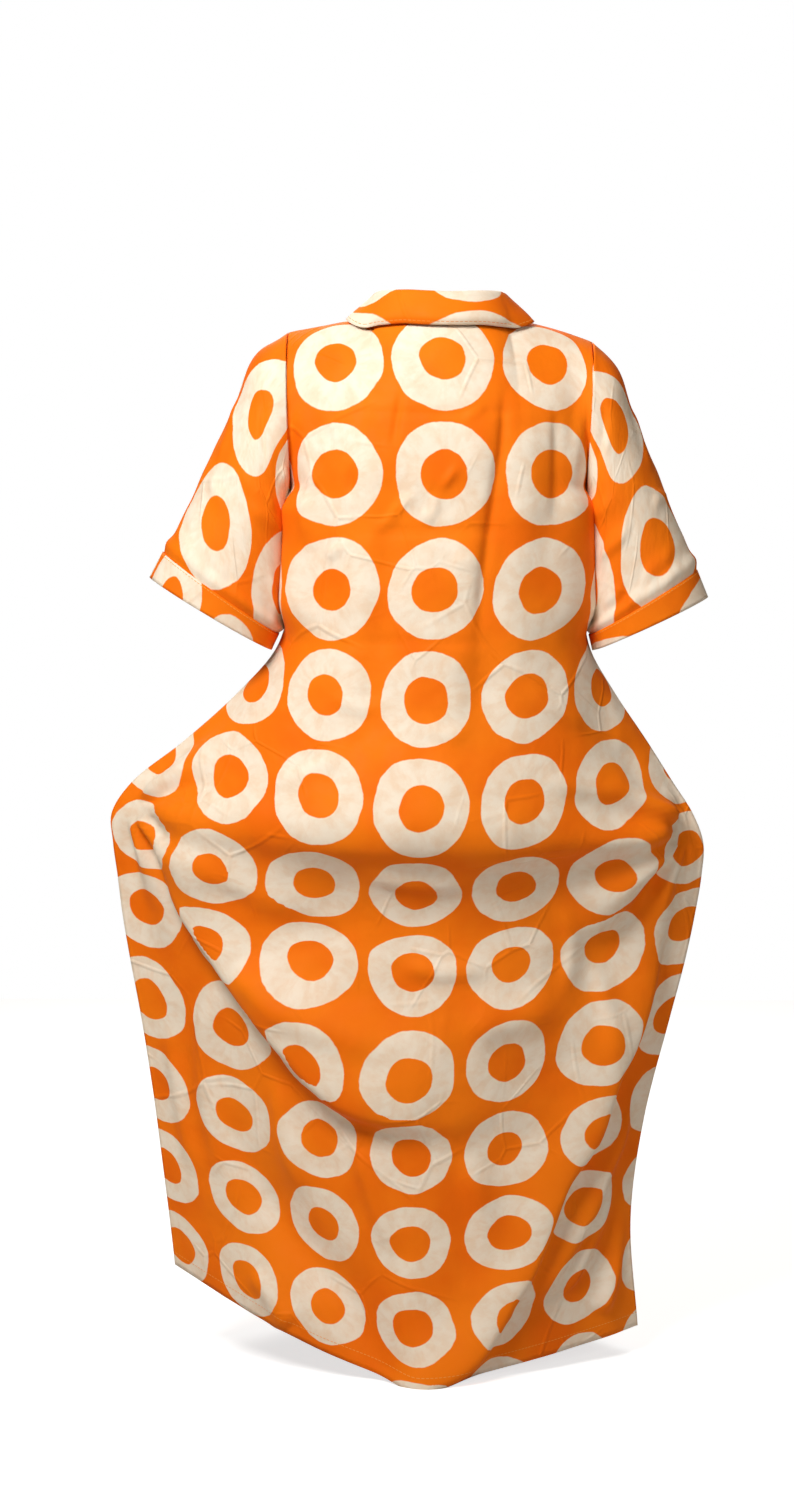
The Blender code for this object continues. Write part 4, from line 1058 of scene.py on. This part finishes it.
def printed_cotton():
    """Smooth woven cotton with rings dyed in it, creases, stitches and a soft sheen."""
    material = bpy.data.materials.new("printed cotton")
    material.use_nodes = True
    graph = Graph(material.node_tree)
    shader = material.node_tree.nodes["Principled BSDF"]
    cloth_place = graph.place("cloth")
    across, along = graph.split(cloth_place)
    thread = stitches(graph)
    colour = graph.mix(thread, cotton_colour(graph, ring_print(graph)), THREAD)
    weave = weave_height(graph, across, along)
    height = graph.math("ADD", weave, crease_height(graph, cloth_place))
    height = graph.math("ADD", height, graph.math("MULTIPLY", thread, STITCH_HEIGHT))
    bump = graph.node("ShaderNodeBump", {"Height": height, "Distance": 1.0, "Strength": 1.0}).outputs[0]
    rough = graph.noise(cloth_place, *GLOSS).outputs["Fac"]
    graph.feed(shader.inputs["Base Color"], colour)
    graph.feed(shader.inputs["Roughness"], graph.between(rough, 0.3, 0.7, ROUGH_LOW, ROUGH_HIGH))
    graph.feed(shader.inputs["Normal"], bump)
    shader.inputs["Sheen Weight"].default_value = SHEEN
    shader.inputs["Sheen Roughness"].default_value = SHEEN_ROUGHNESS
    shader.inputs["Specular IOR Level"].default_value = SPECULAR
    return material


def make_camera():
    """The camera, at the height and distance that the robe is seen from."""
    data = bpy.data.cameras.new("camera")
    camera = bpy.data.objects.new("camera", data)
    bpy.context.scene.collection.objects.link(camera)
    x, y, height = CAMERA_PLACE
    camera.location = (x, y, height - NECK_HEIGHT)
    camera.rotation_mode = "QUATERNION"
    camera.rotation_quaternion = Vector(CAMERA_AIM).to_track_quat("-Z", "Y")
    data.sensor_width = SENSOR
    data.lens = SENSOR / PICTURE_HEIGHT_SHARE
    data.clip_end = FARTHEST
    bpy.context.scene.camera = camera


def make_world():
    """Soft warm light from all round. The camera sees it white."""
    world = bpy.data.worlds.new("studio")
    bpy.context.scene.world = world
    world.use_nodes = True
    graph = Graph(world.node_tree)
    seen = graph.node("ShaderNodeLightPath", {}).outputs["Is Camera Ray"]
    background = world.node_tree.nodes["Background"]
    graph.feed(background.inputs["Color"], graph.mix(seen, WORLD_WARM, WHITE))
    graph.feed(background.inputs["Strength"], graph.between(seen, 0.0, 1.0, WORLD_LIGHT, WORLD_SEEN))


def make_lamp(light):
    """One soft lamp, aimed at its place on the robe."""
    data = bpy.data.lights.new(light.name, "AREA")
    data.shape = "RECTANGLE"
    data.size, data.size_y = light.width, light.height
    data.energy = light.watts
    lamp = bpy.data.objects.new(light.name, data)
    bpy.context.scene.collection.objects.link(lamp)
    lamp.location = Vector(light.place) - Vector((0, 0, NECK_HEIGHT))
    lamp.visible_camera = False
    lamp.rotation_mode = "QUATERNION"
    aim = Vector(light.aim) - Vector(light.place)
    lamp.rotation_quaternion = aim.to_track_quat("-Z", "Y")


def make_floor():
    """A pale floor. To the camera it glows a little, so that it runs into the background."""
    bpy.ops.mesh.primitive_plane_add(size=FLOOR_SIZE, location=(0, 0, -NECK_HEIGHT - FLOOR_GAP))
    floor = bpy.context.active_object
    floor.name = "floor"
    paper = bpy.data.materials.new("pale floor")
    paper.use_nodes = True
    shader = paper.node_tree.nodes["Principled BSDF"]
    shader.inputs["Base Color"].default_value = FLOOR_PALE
    shader.inputs["Roughness"].default_value = FLOOR_ROUGHNESS
    shader.inputs["Emission Color"].default_value = WHITE
    graph = Graph(paper.node_tree)
    seen = graph.node("ShaderNodeLightPath", {}).outputs["Is Camera Ray"]
    graph.feed(shader.inputs["Emission Strength"], graph.math("MULTIPLY", seen, FLOOR_GLOW))
    floor.data.materials.append(paper)


def make_studio():
    """The world, the lamps and the floor."""
    bpy.context.scene.view_settings.view_transform = "Standard"
    make_world()
    for light in LIGHTS:
        make_lamp(light)
    make_floor()


def make_robe():
    """The seven pieces, each riding on the body and standing for its solid."""
    material = printed_cotton()
    made = {side: body_panel(side) for side in ("back", "front")}
    made["collar"] = collar({side: made[side].grid for side in ("back", "front")})
    for hand in HAND_SIGN:
        made["sleeve_" + hand] = sleeve(hand)
        made["cuff_" + hand] = cuff(hand)
    for name, cloth_made in made.items():
        piece = cloth("shown_" + name, cloth_made, material, closed=name.startswith(("sleeve", "cuff")))
        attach(piece, "root")
        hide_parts(name)


make_camera()
make_studio()
make_robe()
